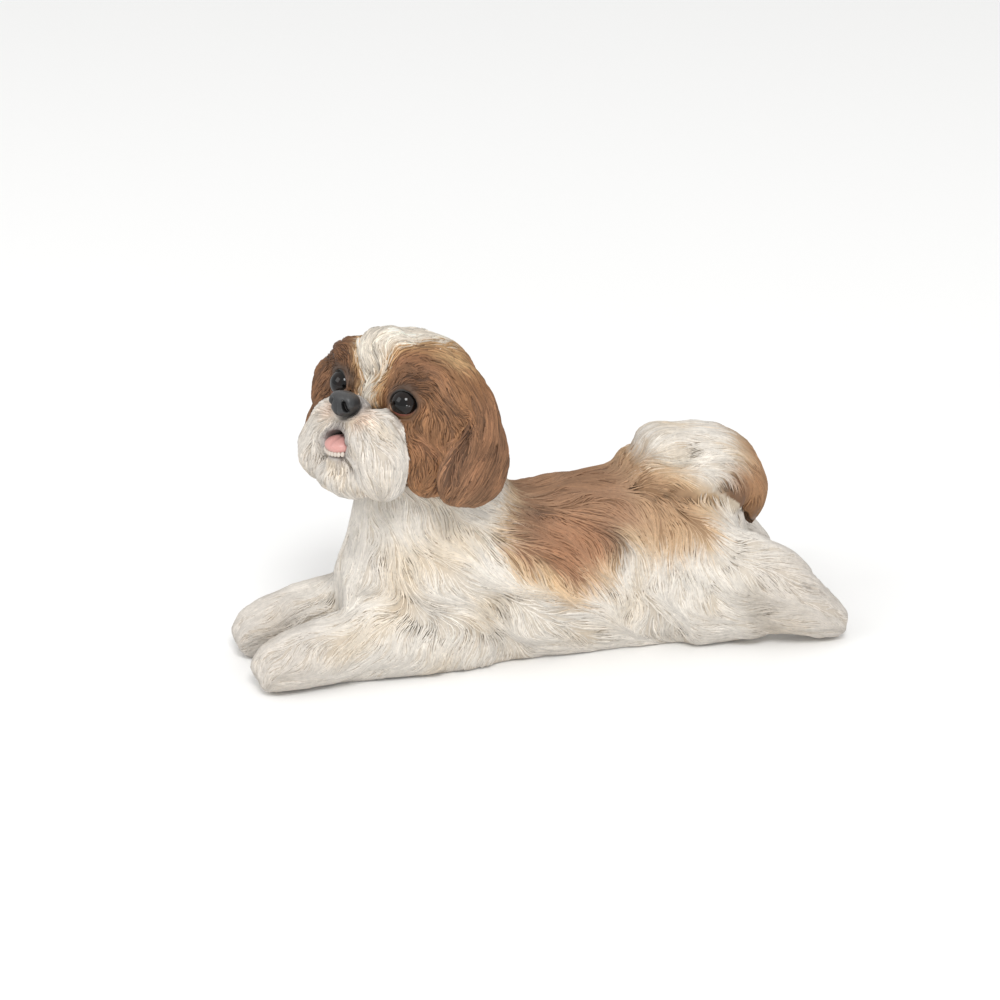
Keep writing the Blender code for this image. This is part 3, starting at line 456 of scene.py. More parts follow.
def head_paint(places, paints):
    """The paint of the head, which is brown but for the blaze, the crown and the throat."""
    points = in_frame(places, HEAD)
    left, forward, up = points.T
    wobble = 0.0022 * mottle(points, 0.007, 5)
    colour = np.tile(np.array(paints["head_brown"]), (len(points), 1))
    patches = mottle(points, 0.012, 6)
    colour = blend(colour, paints["red_brown"], 0.55 * rise(patches, 0.0, 0.9))
    colour = blend(colour, paints["dark_brown"], 0.50 * rise(-patches, 0.2, 1.1))
    sides = np.stack([np.abs(left), forward, up], axis=1)
    colour = blend(colour, paints["dark_brown"], 0.58 * ball(sides, (0.030, 0.034, 0.020), (0.018, 0.018, 0.012), 0.6))
    # painted shade: the far, right side of the head is darker
    colour = blend(colour, paints["dark_brown"], 0.60 * rise(-left, 0.022, 0.040))
    # golden beside the blaze and at the inner corners of the eyes
    height = up + 4 * left ** 2
    steps = (0.0055, 0.0128, 0.0289, 0.0345, 0.0390, 0.0420)
    right_edge = np.interp(height, steps, (-0.0079, -0.0100, -0.0161, -0.0230, -0.0300, -0.0500))
    left_edge = np.interp(height, steps, (-0.0003, 0.0015, 0.0045, 0.0070, 0.0160, 0.0500))
    aside = np.maximum(left - left_edge, right_edge - left) + wobble
    # it ends at the back of the crown
    aside = np.maximum(aside, -forward - 0.034 + 2 * wobble)
    colour = blend(colour, paints["golden"], 0.70 * (1 - rise(aside, 0.002, 0.011)) * rise(forward, 0.010, 0.030))
    colour = blend(colour, paints["golden"], 0.55 * (1 - rise(aside, 0.002, 0.016)) * (1 - rise(forward, 0.010, 0.030)))
    blaze = (paints["cream"] * 2 + paints["warm_cream"]) / 3
    colour = blend(colour, blaze, 1 - rise(aside, -0.0012, 0.0040))
    streaks = rise(mottle(points * (1, 0.5, 1), 0.005, 10), 0.1, 1.0) * ball(points, (0.026, 0.006, 0.044), (0.022, 0.024, 0.012))
    colour = blend(colour, paints["tan"], 0.45 * streaks)
    nape = ball(points, (0.0, -0.034, -0.040), (0.050, 0.034, 0.020), 0.5)
    colour = blend(colour, paints["cream"], 0.85 * rise(nape + 40 * wobble, 0.3, 0.9))
    # the throat and the back of the neck
    throat = rise(-(up + 0.052 + 0.25 * (forward - 0.02)) + wobble, 0.0, 0.004)
    throat = throat * (1 - rise(np.abs(left), 0.030, 0.036))
    colour = blend(colour, paints["cream"], throat)
    colour = blend(colour, paints["golden"], 0.75 * ball(sides, (0.037, 0.002, 0.036), (0.015, 0.019, 0.012), 0.7))
    # painted shade in the crease between the cheek and the ear
    deep = ball(sides, (0.052, 0.016, -0.020), (0.008, 0.010, 0.026), 0.6)
    return blend(colour, paints["groove"], 0.28 * deep)


def ear_paint(places, paints):
    points = in_frame(places, HEAD)
    left, forward, up = points.T
    patches = mottle(points, 0.014, 7)
    colour = np.tile(np.array(paints["ear_brown"]), (len(points), 1))
    colour = blend(colour, paints["red_brown"], 0.40 * rise(patches, 0.0, 0.9))
    colour = blend(colour, paints["dark_brown"], 0.40 * rise(-patches, 0.0, 1.0))
    colour = blend(colour, paints["head_brown"], rise(up, 0.000, 0.018))
    return blend(colour, paints["tan"], 0.15 * rise(-up, 0.040, 0.060))


def muzzle_paint(places, paints):
    points = in_frame(places, HEAD)
    left, forward, up = points.T
    colour = np.tile(np.array(paints["cream"]), (len(points), 1))
    colour = blend(colour, paints["warm_cream"], 0.5 * rise(mottle(points, 0.010, 8), 0.0, 1.0))
    colour = blend(colour, paints["shade_grey"], 0.30 + 0.40 * rise(mottle(points, 0.007, 11), 0.0, 1.2))
    sides = np.stack([np.abs(left), forward, up], axis=1)
    colour = blend(colour, paints["peach"], 0.45 * ball(sides, (0.013, 0.058, -0.012), (0.007, 0.010, 0.007), 0.7))
    colour = blend(colour, paints["muzzle_grey"], 0.75 * ball(points, (0, 0.066, -0.018), (0.0040, 0.012, 0.009), 0.6))
    colour = blend(colour, paints["muzzle_grey"], 0.70 * ball(points, (0, 0.060, -0.004), (0.0132, 0.014, 0.0100), 0.3))
    return colour


PAINT_OF = {"torso": body_paint, "tail": tail_paint, "head": head_paint, "ear": ear_paint,
            "muzzle": muzzle_paint, "chin": muzzle_paint}


def features_paint(colour, places, paints):
    """Airbrushed over everything: round the eyes, under the nose and at the lips, with painted shade in the mouth."""
    points = in_frame(places, HEAD)
    sides = np.stack([np.abs(points[:, 0]), points[:, 1], points[:, 2]], axis=1)
    from_eye = np.linalg.norm(sides - np.array(EYE_PLACE), axis=1)
    from_brow = np.linalg.norm(sides - np.array(EYE_PLACE) - (0, 0, 0.0014), axis=1)
    colour = blend(colour, paints["dark_brown"], 0.45 * (1 - rise(from_brow, 0.0118, 0.0160)))
    colour = blend(colour, paints["lid"], 0.65 * (1 - rise(from_brow, 0.0104, 0.0130)))
    mouth = np.linalg.norm((points - np.array(MOUTH_PLACE)) / np.array(MOUTH_SIZE), axis=1)
    colour = blend(colour, paints["lip"], 0.75 * (1 - rise(mouth, 1.10, 1.60)))
    # painted shade under the upper lip: the mouth is darker at its top
    lip_shade = rise(points[:, 2] - MOUTH_PLACE[2], -0.001, 0.004)
    colour = blend(colour, paints["mouth_dark"], 0.6 * lip_shade * (1 - rise(mouth, 0.96, 1.12)))
    # the inside of the mouth is painted dark as painted shade, darkest under the upper lip
    return blend(colour, paints["mouth_dark"], (0.35 + 0.65 * lip_shade) * (1 - rise(mouth, 0.82, 0.96)))


def painted(places, kinds, paints):
    """The marking at each place, with painted shade in the creases, where kinds names the solid that each lies on."""
    colour = np.zeros((len(places), 3))
    for kind in set(kinds):
        here = kinds == kind
        short = kind.split("_")[0]
        colour[here] = PAINT_OF.get(short, body_paint)(places[here], paints)
    # painted shade: the surface is darker in the creases, where shade falls
    crease_shade = 1 - 0.30 * np.clip(crease_depth(places) / 0.003, 0, 1)[:, None]
    return features_paint(colour * crease_shade ** WASH_TINT, places, paints)


# Meshes

def mesh_arrays(mesh):
    """Places and normals of a mesh's vertices."""
    count = len(mesh.vertices)
    places = np.empty(count * 3)
    normals = np.empty(count * 3)
    mesh.vertices.foreach_get("co", places)
    mesh.vertex_normals.foreach_get("vector", normals)
    return places.reshape(-1, 3), normals.reshape(-1, 3)


def triangle_corners(mesh):
    mesh.calc_loop_triangles()
    corners = np.empty(len(mesh.loop_triangles) * 3, np.int32)
    mesh.loop_triangles.foreach_get("vertices", corners)
    return corners.reshape(-1, 3)


def new_object(name, mesh):
    obj = bpy.data.objects.new(name, mesh)
    bpy.context.scene.collection.objects.link(obj)
    return obj


def from_bmesh(name, bm):
    mesh = bpy.data.meshes.new(name)
    bmesh.ops.recalc_face_normals(bm, faces=bm.faces)
    bm.to_mesh(mesh)
    bm.free()
    mesh.shade_smooth()
    return new_object(name, mesh)


def apply_modifiers(obj):
    graph = bpy.context.evaluated_depsgraph_get()
    mesh = bpy.data.meshes.new_from_object(obj.evaluated_get(graph))
    obj.modifiers.clear()
    old, obj.data = obj.data, mesh
    bpy.data.meshes.remove(old)
    return obj


def keep_largest(obj):
    """Drops closed scraps, such as the shells of gaps between solids."""
    mesh = obj.data
    count = len(mesh.vertices)
    edges = np.empty(len(mesh.edges) * 2, np.int32)
    mesh.edges.foreach_get("vertices", edges)
    edges = edges.reshape(-1, 2)
    label = np.arange(count)
    while True:
        low = np.minimum(label[edges[:, 0]], label[edges[:, 1]])
        before = label.copy()
        np.minimum.at(label, edges[:, 0], low)
        np.minimum.at(label, edges[:, 1], low)
        label = label[label]
        if np.array_equal(before, label):
            break
    names, sizes = np.unique(label, return_counts=True)
    largest = names[np.argmax(sizes)]
    if len(names) > 1:
        bm = bmesh.new()
        bm.from_mesh(mesh)
        bm.verts.ensure_lookup_table()
        bmesh.ops.delete(bm, geom=[bm.verts[int(i)] for i in np.flatnonzero(label != largest)], context="VERTS")
        bm.to_mesh(mesh)
        bm.free()


def set_paint(mesh, colours):
    """Stores one colour a vertex under the name that the materials read."""
    layer = mesh.color_attributes.new("paint", "FLOAT_COLOR", "POINT")
    values = np.ones((len(colours), 4), np.float32)
    values[:, :3] = np.clip(colours, 0, 1)
    layer.data.foreach_set("color", values.ravel())


def from_line(points, line):
    """Each point's distance from a bent line."""
    nearest = np.full(len(points), np.inf)
    for start, end in zip(np.array(line)[:-1], np.array(line)[1:]):
        step = end - start
        t = np.clip((points - start) @ step / (step @ step), 0, 1)
        nearest = np.minimum(nearest, np.linalg.norm(points - start - t[:, None] * step, axis=1))
    return nearest


def crease_depth(places):
    """How deep the creases are at each place, in metres."""
    depth = np.zeros(len(places))
    for where, line, width, deepest in CREASES:
        points = in_frame(places, HEAD if where == "head" else BODY)
        points[:, 0] = np.abs(points[:, 0])
        depth = np.maximum(depth, deepest * np.exp(-(from_line(points, line) / width) ** 2))
    return depth


def lip_rise(places):
    """How far the lower lip stands out at each place."""
    points = in_frame(places, HEAD) - np.array(MOUTH_PLACE)
    from_rim = np.linalg.norm(points / np.array(MOUTH_SIZE), axis=1) - 1.12
    return 0.0010 * np.exp(-(from_rim / 0.14) ** 2) * rise(-points[:, 2], -0.001, 0.004)


class Surface:
    """The skin as arrays and a search tree, with the solid that each of its faces lies on."""

    def __init__(self, skin):
        self.corners = triangle_corners(skin.data)
        self.places, normals = mesh_arrays(skin.data)
        self.normals = unit(normals[self.corners].mean(axis=1))
        self.tree = BVHTree.FromPolygons(self.places.tolist(), self.corners.tolist())
        self.owners = owners_of(self.places[self.corners].mean(axis=1), solids_tree())
        self.groups = np.array([GROUPS_OF_SOLIDS.get(name.split("_")[0], 0) for name in self.owners])

    def nearest(self, points):
        """The nearest places on the skin and the faces they lie on."""
        shape = points.shape[:-1]
        found = [self.tree.find_nearest(p) for p in points.reshape(-1, 3).tolist()]
        places = np.array([f[0][:] for f in found]).reshape(*shape, 3)
        return places, np.array([f[2] for f in found]).reshape(shape)


def solids_tree():
    """The flesh solids as one search tree, and the solid that each of its faces belongs to."""
    verts, faces, owners = [], [], []
    for name in FLESH:
        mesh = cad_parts[name].data
        base = len(verts)
        verts += [v.co[:] for v in mesh.vertices]
        faces += [[base + i for i in p.vertices] for p in mesh.polygons]
        owners += [name] * len(mesh.polygons)
    return BVHTree.FromPolygons(verts, faces), np.array(owners)


def owners_of(places, finder):
    tree, owners = finder
    return owners[[tree.find_nearest(p)[2] for p in places]]


# The eyes, the nose and the mouth, and the bare room that each takes, in head coordinates
FEATURES = (((EYE_PLACE[0], *EYE_PLACE[1:]), (0.0110, 0.0110, 0.0108)),
            ((-EYE_PLACE[0], *EYE_PLACE[1:]), (0.0110, 0.0110, 0.0108)),
            (NOSE_PLACE, (0.0104, 0.0110, 0.0080)),
            (MOUTH_PLACE, (0.0092, 0.0110, 0.0086)))


def feature_distance(places):
    """How far each place is from the nearest of the eyes, the nose and the mouth, less their sizes."""
    points = in_frame(places, HEAD)
    distance = np.full(len(places), np.inf)
    for place, radii in FEATURES:
        share = np.linalg.norm((points - np.array(place)) / np.array(radii), axis=1)
        distance = np.minimum(distance, (share - 1) * min(radii))
    return distance


# Materials

def add_node(tree, kind, settings=None, links=None):
    """Adds a node; settings are its properties or, by socket name, its values, and links feed sockets."""
    node = tree.nodes.new(kind)
    for key, value in (settings or {}).items():
        if key in node.inputs:
            node.inputs[key].default_value = value
        else:
            setattr(node, key, value)
    for socket, source in (links or {}).items():
        tree.links.new(source, node.inputs[socket])
    return node


def new_material(name):
    material = bpy.data.materials.new(name)
    material.use_nodes = True
    tree = material.node_tree
    shader = tree.nodes["Principled BSDF"]
    return material, tree, shader


def resin_material():
    """Cast resin, carved and painted by hand with a thinned wash.

    The matt acrylic shows soft, wide highlights on the ridges, slightly uneven from the brush, and the
    wash has settled in the grooves. The paint attribute holds both.
    """
    material, tree, shader = new_material("painted_resin")
    paint = add_node(tree, "ShaderNodeAttribute", {"attribute_name": "paint"})
    place = add_node(tree, "ShaderNodeTexCoord")
    # brush marks about 3 mm long
    brush = add_node(tree, "ShaderNodeTexNoise", {"Scale": 1 / 0.003, "Detail": 4.0, "Roughness": 0.6},
                     {"Vector": place.outputs["Object"]})
    strength = add_node(tree, "ShaderNodeMapRange", {"To Min": 0.90, "To Max": 1.08, "From Min": 0.3,
                                                     "From Max": 0.7}, {"Value": brush.outputs["Fac"]})
    tone = add_node(tree, "ShaderNodeVectorMath", {"operation": "SCALE"},
                    {"Vector": paint.outputs["Color"], "Scale": strength.outputs["Result"]})
    # the paint film's grain, about 0.35 mm
    grain = add_node(tree, "ShaderNodeTexNoise", {"Scale": 1 / 0.00035, "Detail": 2.0},
                     {"Vector": place.outputs["Object"]})
    bump = add_node(tree, "ShaderNodeBump", {"Strength": 0.25, "Distance": 0.0002},
                    {"Height": grain.outputs["Fac"]})
    rough = add_node(tree, "ShaderNodeMapRange", {"To Min": 0.50, "To Max": 0.66},
                     {"Value": brush.outputs["Fac"]})
    tree.links.new(tone.outputs["Vector"], shader.inputs["Base Color"])
    tree.links.new(rough.outputs["Result"], shader.inputs["Roughness"])
    tree.links.new(bump.outputs["Normal"], shader.inputs["Normal"])
    shader.inputs["IOR"].default_value = 1.46
    return material


def glass_material():
    """A cast glass eye, polished: near black, with a brown ring that shows only close to."""
    material, tree, shader = new_material("glass_eye")
    paint = add_node(tree, "ShaderNodeAttribute", {"attribute_name": "paint"})
    place = add_node(tree, "ShaderNodeTexCoord")
    # polishing marks too fine to see, drawn at 2 mm so that the highlight's edge isn't perfect
    haze = add_node(tree, "ShaderNodeTexNoise", {"Scale": 1 / 0.002}, {"Vector": place.outputs["Object"]})
    rough = add_node(tree, "ShaderNodeMapRange", {"To Min": 0.02, "To Max": 0.06},
                     {"Value": haze.outputs["Fac"]})
    tree.links.new(paint.outputs["Color"], shader.inputs["Base Color"])
    tree.links.new(rough.outputs["Result"], shader.inputs["Roughness"])
    shader.inputs["IOR"].default_value = 1.50
    shader.inputs["Specular IOR Level"].default_value = 0.35
    return material


def feature_material(name, roughness, bump_size, bump_strength):
    """Smooth resin under a brushed paint: the nose, lids, tongue and teeth."""
    material, tree, shader = new_material(name)
    paint = add_node(tree, "ShaderNodeAttribute", {"attribute_name": "paint"})
    place = add_node(tree, "ShaderNodeTexCoord")
    grain = add_node(tree, "ShaderNodeTexNoise", {"Scale": 1 / bump_size, "Detail": 3.0},
                     {"Vector": place.outputs["Object"]})
    strength = add_node(tree, "ShaderNodeMapRange", {"To Min": 0.85, "To Max": 1.15},
                        {"Value": grain.outputs["Fac"]})
    tone = add_node(tree, "ShaderNodeVectorMath", {"operation": "SCALE"},
                    {"Vector": paint.outputs["Color"], "Scale": strength.outputs["Result"]})
    bump = add_node(tree, "ShaderNodeBump", {"Strength": bump_strength, "Distance": 0.0002},
                    {"Height": grain.outputs["Fac"]})
    rough = add_node(tree, "ShaderNodeMapRange", {"To Min": roughness - 0.06, "To Max": roughness + 0.06},
                     {"Value": grain.outputs["Fac"]})
    tree.links.new(tone.outputs["Vector"], shader.inputs["Base Color"])
    tree.links.new(rough.outputs["Result"], shader.inputs["Roughness"])
    tree.links.new(bump.outputs["Normal"], shader.inputs["Normal"])
    return material


def finish_piece(obj, material, replaced=()):
    """Gives a piece its material, hangs it from the root body and hides the solids it replaces."""
    obj.data.materials.clear()
    obj.data.materials.append(material)
    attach(obj, "root")
    if replaced:
        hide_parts(*replaced)


# The user's settings

def colour_setting(name, description, hex_colour):
    return FloatVectorProperty(name=name, description=description, subtype="COLOR", size=3, min=0, max=1,
                               default=linear(hex_colour))


class StatuePaints(bpy.types.PropertyGroup):
    cream: colour_setting("Cream", "White of the chest, legs and muzzle", "#EAE4DB")
    warm_cream: colour_setting("Warm cream", "Yellower strokes in the white", "#E0CEB2")
    # grey in the white: blotches of grey paint, the muzzle's greying, and painted shade low on the body and legs
    shade_grey: colour_setting("Shade grey", "Grey wash in the white", "#C6BDB4")
    golden: colour_setting("Golden", "Fringe of the brown patches", "#D0AE80")
    tan: colour_setting("Tan", "Haunch and ear tips", "#B69370")
    brown: colour_setting("Brown", "Saddle", "#A67E60")
    red_brown: colour_setting("Red brown", "Middle of the saddle, cheeks", "#A97A59")
    # also painted shade on the head's far side and in the tail's hollow
    dark_brown: colour_setting("Dark brown", "Darkest coat", "#5C402D")
    head_brown: colour_setting("Head brown", "Round the eyes and on the cheeks", "#926A49")
    ear_brown: colour_setting("Ear brown", "Ears", "#825F45")
    tail_brown: colour_setting("Tail brown", "Outer edge of the tail", "#9F724B")
    # painted shade in the deep creases of the brown
    groove: colour_setting("Groove", "Deep creases in the brown", "#3C2A1E")
    peach: colour_setting("Peach", "Skin tone beside the nose", "#DDB89C")
    muzzle_grey: colour_setting("Muzzle grey", "Dusting round the nose", "#8F8A88")
    lid: colour_setting("Lid", "Airbrushed rim of the eyes", "#2E2925")
    lid_red: colour_setting("Lower lid", "Reddish rim under the eyes", "#6A2F20")
    lip: colour_setting("Lip", "Edge of the mouth", "#8E8886")
    # painted shade: the inside of the mouth and the nostrils
    mouth_dark: colour_setting("Mouth", "Inside of the mouth", "#2B2322")
    nose: colour_setting("Nose", "Nose leather", "#2C2D2E")
    tongue: colour_setting("Tongue", "Tongue", "#C9948D")
    teeth: colour_setting("Teeth", "Lower teeth", "#C8BDB2")
    glass: colour_setting("Glass", "Eyes", "#060505")
    iris: colour_setting("Iris", "Ring in the eyes", "#150C08")


class CoatSettings(bpy.types.PropertyGroup):
    strand_length: FloatProperty(name="Strand length", description="Length of a carved strand on the back",
                                 default=0.030, min=0.005, max=0.08, unit="LENGTH")
    strand_width: FloatProperty(name="Strand width", description="Width of a carved strand",
                                default=0.00118, min=0.0005, max=0.005, unit="LENGTH")
    strand_rise: FloatProperty(name="Strand rise", description="How high a strand stands over the skin",
                               default=0.00070, min=0.0002, max=0.003, unit="LENGTH")
    fullness: FloatProperty(name="Fullness", description="How often the strands cover the skin",
                            default=6.5, min=0.5, max=8)
    tuft_width: FloatProperty(name="Tuft width", description="Width of a tuft on the back",
                              default=0.0095, min=0.002, max=0.03, unit="LENGTH")
    tuft_rise: FloatProperty(name="Tuft rise", description="How far a tuft's middle stands over its edges",
                             default=0.00085, min=0, max=0.003, unit="LENGTH")
    tuft_fullness: FloatProperty(name="Tuft fullness", description="How often the tufts cover the skin",
                                 default=2.0, min=0.5, max=6)
    tuft_turn: FloatProperty(name="Tuft turn", description="How far tufts stray from the lie of the coat",
                             default=math.radians(9), min=0, max=1.2, subtype="ANGLE", unit="ROTATION")
    tuft_tone: FloatProperty(name="Tuft tone", description="Unevenness of the paint from tuft to tuft",
                             default=0.05, min=0, max=0.3)
    gather: FloatProperty(name="Gather", description="How far strands draw in to the tip of their tuft",
                          default=0.38, min=0, max=1)
    wave_length: FloatProperty(name="Wave length", description="Length of the coat's long waves",
                               default=0.060, min=0.01, max=0.2, unit="LENGTH")
    wave_turn: FloatProperty(name="Wave turn", description="Turn of the long waves",
                             default=math.radians(24), min=0, max=1.2, subtype="ANGLE", unit="ROTATION")
    curl_turn: FloatProperty(name="Curl turn", description="Turn of the short waves",
                             default=math.radians(11), min=0, max=1.2, subtype="ANGLE", unit="ROTATION")
    skin_depth: FloatProperty(name="Skin depth", description="How far the skin lies inside the solids",
                              default=0.0007, min=0, max=0.003, unit="LENGTH")
    skin_voxel: FloatProperty(name="Skin detail", description="Size of the skin's finest forms",
                              default=0.0012, min=0.0008, max=0.004, unit="LENGTH")


class FaceSettings(bpy.types.PropertyGroup):
    eye_radius: FloatProperty(name="Eye radius", description="Radius of the glass eyes",
                              default=0.0092, min=0.004, max=0.02, unit="LENGTH")
    lid_width: FloatProperty(name="Lid width", description="Half width of the opening in the lids",
                             default=0.0097, min=0.004, max=0.02, unit="LENGTH")
    lid_height: FloatProperty(name="Lid height", description="Half height of the opening in the lids",
                              default=0.0090, min=0.004, max=0.02, unit="LENGTH")
    lid_thickness: FloatProperty(name="Lid thickness", description="Thickness of a lid's rim",
                                 default=0.0010, min=0.0005, max=0.004, unit="LENGTH")
    teeth: IntProperty(name="Teeth", description="Lower teeth that show", default=8, min=0, max=10)


class StageSettings(bpy.types.PropertyGroup):
    floor_size: FloatProperty(name="Floor size", description="Side of the floor", default=8.0, min=1,
                              max=40, unit="LENGTH")
    floor_colour: colour_setting("Floor colour", "Plain pale floor", "#F8F8F7")


def paints_of(context):
    group = context.scene.statue_paints
    return {name: np.array(getattr(group, name)) for name in StatuePaints.__annotations__}


class STATUE_OT_skin(bpy.types.Operator):
    """Makes one skin from the solids of the flesh, a little inside them"""

    bl_idname = "statue.skin"
    bl_label = "Skin"

    def execute(self, context):
        coat = context.scene.statue_coat
        bm = bmesh.new()
        for name in FLESH:
            bm.from_mesh(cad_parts[name].data)
        bmesh.ops.remove_doubles(bm, verts=bm.verts, dist=1e-6)
        for where, place, radii in FILLS:
            for side in (1, -1):
                matrix = (HEAD if where == "head" else BODY) @ Matrix.Translation((side * place[0], *place[1:]))
                bmesh.ops.create_icosphere(bm, subdivisions=4, radius=1,
                                           matrix=matrix @ Matrix.Diagonal((*radii, 1)))
        mesh = bpy.data.meshes.new("statue_skin")
        bm.to_mesh(mesh)
        bm.free()
        skin = new_object("statue_skin", mesh)
        remesh = skin.modifiers.new("skin", "REMESH")
        remesh.mode = "VOXEL"
        remesh.voxel_size = coat.skin_voxel
        apply_modifiers(skin)
        keep_largest(skin)
        places, _ = mesh_arrays(skin.data)
        keep = rise(feature_distance(places), -0.002, 0.006)
        self.soften(skin, keep, "facets", 14)
        places, _ = mesh_arrays(skin.data)
        eased = np.zeros(len(places))
        for where, place, radii in EASED:
            points = in_frame(places, HEAD if where == "head" else BODY)
            points[:, 0] = np.abs(points[:, 0])
            eased = np.maximum(eased, ball(points, place, radii, 0.5))
        self.soften(skin, eased * rise(feature_distance(places), 0.002, 0.008), "eased", 60)
        places, normals = mesh_arrays(skin.data)
        depth = coat.skin_depth * rise(feature_distance(places), 0.0, 0.005)
        depth += crease_depth(places) - lip_rise(places)
        places = places - normals * depth[:, None]
        places[:, 2] = np.maximum(places[:, 2], 0)
        skin.data.vertices.foreach_set("co", places.ravel())
        skin.data.update()
        count = 2 * len(skin.data.polygons)
        fewer = skin.modifiers.new("fewer", "DECIMATE")
        fewer.ratio = min(1, 190000 / count)
        fewer.use_collapse_triangulate = True
        apply_modifiers(skin)
        skin.data.shade_smooth()

        places, _ = mesh_arrays(skin.data)
        kinds = owners_of(places, solids_tree())
        colours = painted(places, kinds, paints_of(context))
        # between the strands the wash has settled
        hairy = rise(feature_distance(places), 0.0005, 0.004)[:, None]
        wash = 1 + (relief_tones(colours)[2] - 1) * hairy
        set_paint(skin.data, colours * wash ** WASH_TINT)
        finish_piece(skin, resin_material(), FLESH)
        return {"FINISHED"}

    @staticmethod
    def soften(skin, keep, name, rounds):
        group = skin.vertex_groups.new(name=name)
        for level in range(1, 11):
            chosen = np.flatnonzero(np.round(keep * 10) == level)
            group.add(chosen.tolist(), level / 10, "REPLACE")
        smooth = skin.modifiers.new(name, "SMOOTH")
        smooth.vertex_group = name
        smooth.factor = 0.5
        smooth.iterations = rounds
        apply_modifiers(skin)


class STATUE_OT_coat(bpy.types.Operator):
    """Lays the carved strands over the skin in tufts, region by region"""

    bl_idname = "statue.coat"
    bl_label = "Coat"

    def execute(self, context):
        skin = bpy.data.objects.get("statue_skin")
        if skin is None:
            raise RuntimeError("the skin comes before the coat")
        coat = context.scene.statue_coat
        paints = paints_of(context)
        rng = np.random.default_rng(SEED)
        surface = Surface(skin)
        atlas = self.unwrapped(skin)
        material = resin_material()
        for name, (nodes, strokes, matrix, long, wide, points, slot, sided, wavy, depth) in REGIONS.items():
            faces = np.flatnonzero(np.isin(surface.owners, nodes))
            length, width = coat.strand_length * long, coat.strand_width * wide
            tuft_width = coat.tuft_width * wide
            comb = (both_sides(strokes, matrix), wavy, coat)
            roots = self.roots(surface, faces, length, tuft_width, coat.tuft_fullness, rng)
            tufts = self.tufts(surface, roots, comb, length, points, coat, rng)
            roots = self.roots(surface, faces, length, width, coat.fullness, rng)
            strands = self.strands(surface, roots, tufts, comb, tuft_width, coat, rng)
            aside = in_frame(strands["root"], matrix)[:, 0]
            pieces = {name: aside == aside}
            if sided:
                pieces = {name + "_left": aside >= 0, name + "_right": aside < 0}
            for piece, chosen in pieces.items():
                part = {key: values[chosen] for key, values in strands.items()}
                obj = self.build(piece, part, surface, width, depth, coat, paints, atlas, rng)
                finish_piece(obj, material)
                print(piece, "strands", len(part["root"]), "triangles", len(obj.data.polygons))
        return {"FINISHED"}

    @staticmethod
    def unwrapped(skin):
        """An unwrap of the skin's shape on a plainer copy: a search tree with each face's UV corners."""
        twin = bpy.data.objects.new("unwrap", skin.data.copy())
        bpy.context.scene.collection.objects.link(twin)
        fewer = twin.modifiers.new("fewer", "DECIMATE")
        fewer.ratio = 0.07
        fewer.use_collapse_triangulate = True
        apply_modifiers(twin)
        for other in bpy.context.selected_objects:
            other.select_set(False)
        bpy.context.view_layer.objects.active = twin
        twin.select_set(True)
        bpy.ops.object.mode_set(mode="EDIT")
        bpy.ops.mesh.select_all(action="SELECT")
        bpy.ops.uv.smart_project(angle_limit=math.radians(66), island_margin=0.004)
        bpy.ops.object.mode_set(mode="OBJECT")
        mesh = twin.data
        count = len(mesh.loops)
        flat = np.empty(count * 2)
        mesh.uv_layers.active.data.foreach_get("uv", flat)
        loops = flat.reshape(-1, 3, 2)
        corners = np.empty(count, np.int32)
        mesh.loops.foreach_get("vertex_index", corners)
        places, _ = mesh_arrays(mesh)
        corners = corners.reshape(-1, 3)
        tree = BVHTree.FromPolygons(places.tolist(), corners.tolist())
        bpy.data.objects.remove(twin)
        bpy.data.meshes.remove(mesh)
        return tree, loops, places[corners]

    @staticmethod
    def roots(surface, faces, length, width, fullness, rng):
        """Random places on the faces, at most one to a cell, with the face each lies on."""
        corners, places = surface.corners, surface.places
        a, b, c = (places[corners[faces, k]] for k in range(3))
        areas = np.linalg.norm(np.cross(b - a, c - a), axis=1) / 2
        wanted = fullness * areas.sum() / (0.7 * length * width)
        tries = int(wanted * 6)
        picked = rng.choice(len(faces), tries, p=areas / areas.sum())
        u, v = rng.random(tries), rng.random(tries)
        over = u + v > 1
        u[over], v[over] = 1 - u[over], 1 - v[over]
        points = a[picked] + (b - a)[picked] * u[:, None] + (c - a)[picked] * v[:, None]
        # a cell's side, from the share of cells that a surface cuts: 1.5 cells to a cell's face
        cell = math.sqrt(areas.sum() * 1.5 / wanted)
        # strands are shorter near the features, and stand closer there
        near = feature_distance(points) < 0.015
        keys = np.floor(points / np.where(near, 0.76 * cell, cell)[:, None]).astype(np.int64)
        _, first = np.unique(keys @ np.array((1, 10007, 100150063)), return_index=True)
        first = rng.permutation(first)
        return points[first], faces[picked[first]]

    @staticmethod
    def tufts(surface, roots, comb, length, points, coat, rng):
        """The middle line of each tuft, which follows the lie of the coat over the skin."""
        place, face = roots
        count = len(place)
        normal = surface.normals[face]
        # tufts are shorter near the features and at the paws
        near = rise(feature_distance(place), 0.0, 0.022)
        along = in_frame(place, BODY)[:, 1]
        lengths = length * rng.uniform(0.85, 1.25, count) * (0.40 + 0.60 * near)
        lengths *= (0.5 + 0.5 * rise(along, -0.180, -0.150)) * (1 - 0.4 * rise(along, 0.170, 0.195))
        astray = rng.normal(0, coat.tuft_turn, count)
        spine, normals = [place], [normal]
        for _ in range(points - 1):
            way = turned(lie(place, normal, *comb), normal, astray)
            place, index = surface.nearest(place + way * (lengths / (points - 1))[:, None])
            normal = surface.normals[index]
            spine.append(place)
            normals.append(normal)
        spine, normals = np.stack(spine, axis=1), np.stack(normals, axis=1)
        way = unit(np.gradient(spine, axis=1))
        return {"spine": spine, "way": way, "side": unit(np.cross(normals, way)), "length": lengths,
                "astray": astray, "tone": np.clip(rng.normal(1, coat.tuft_tone, count), 0.7, 1.3)}

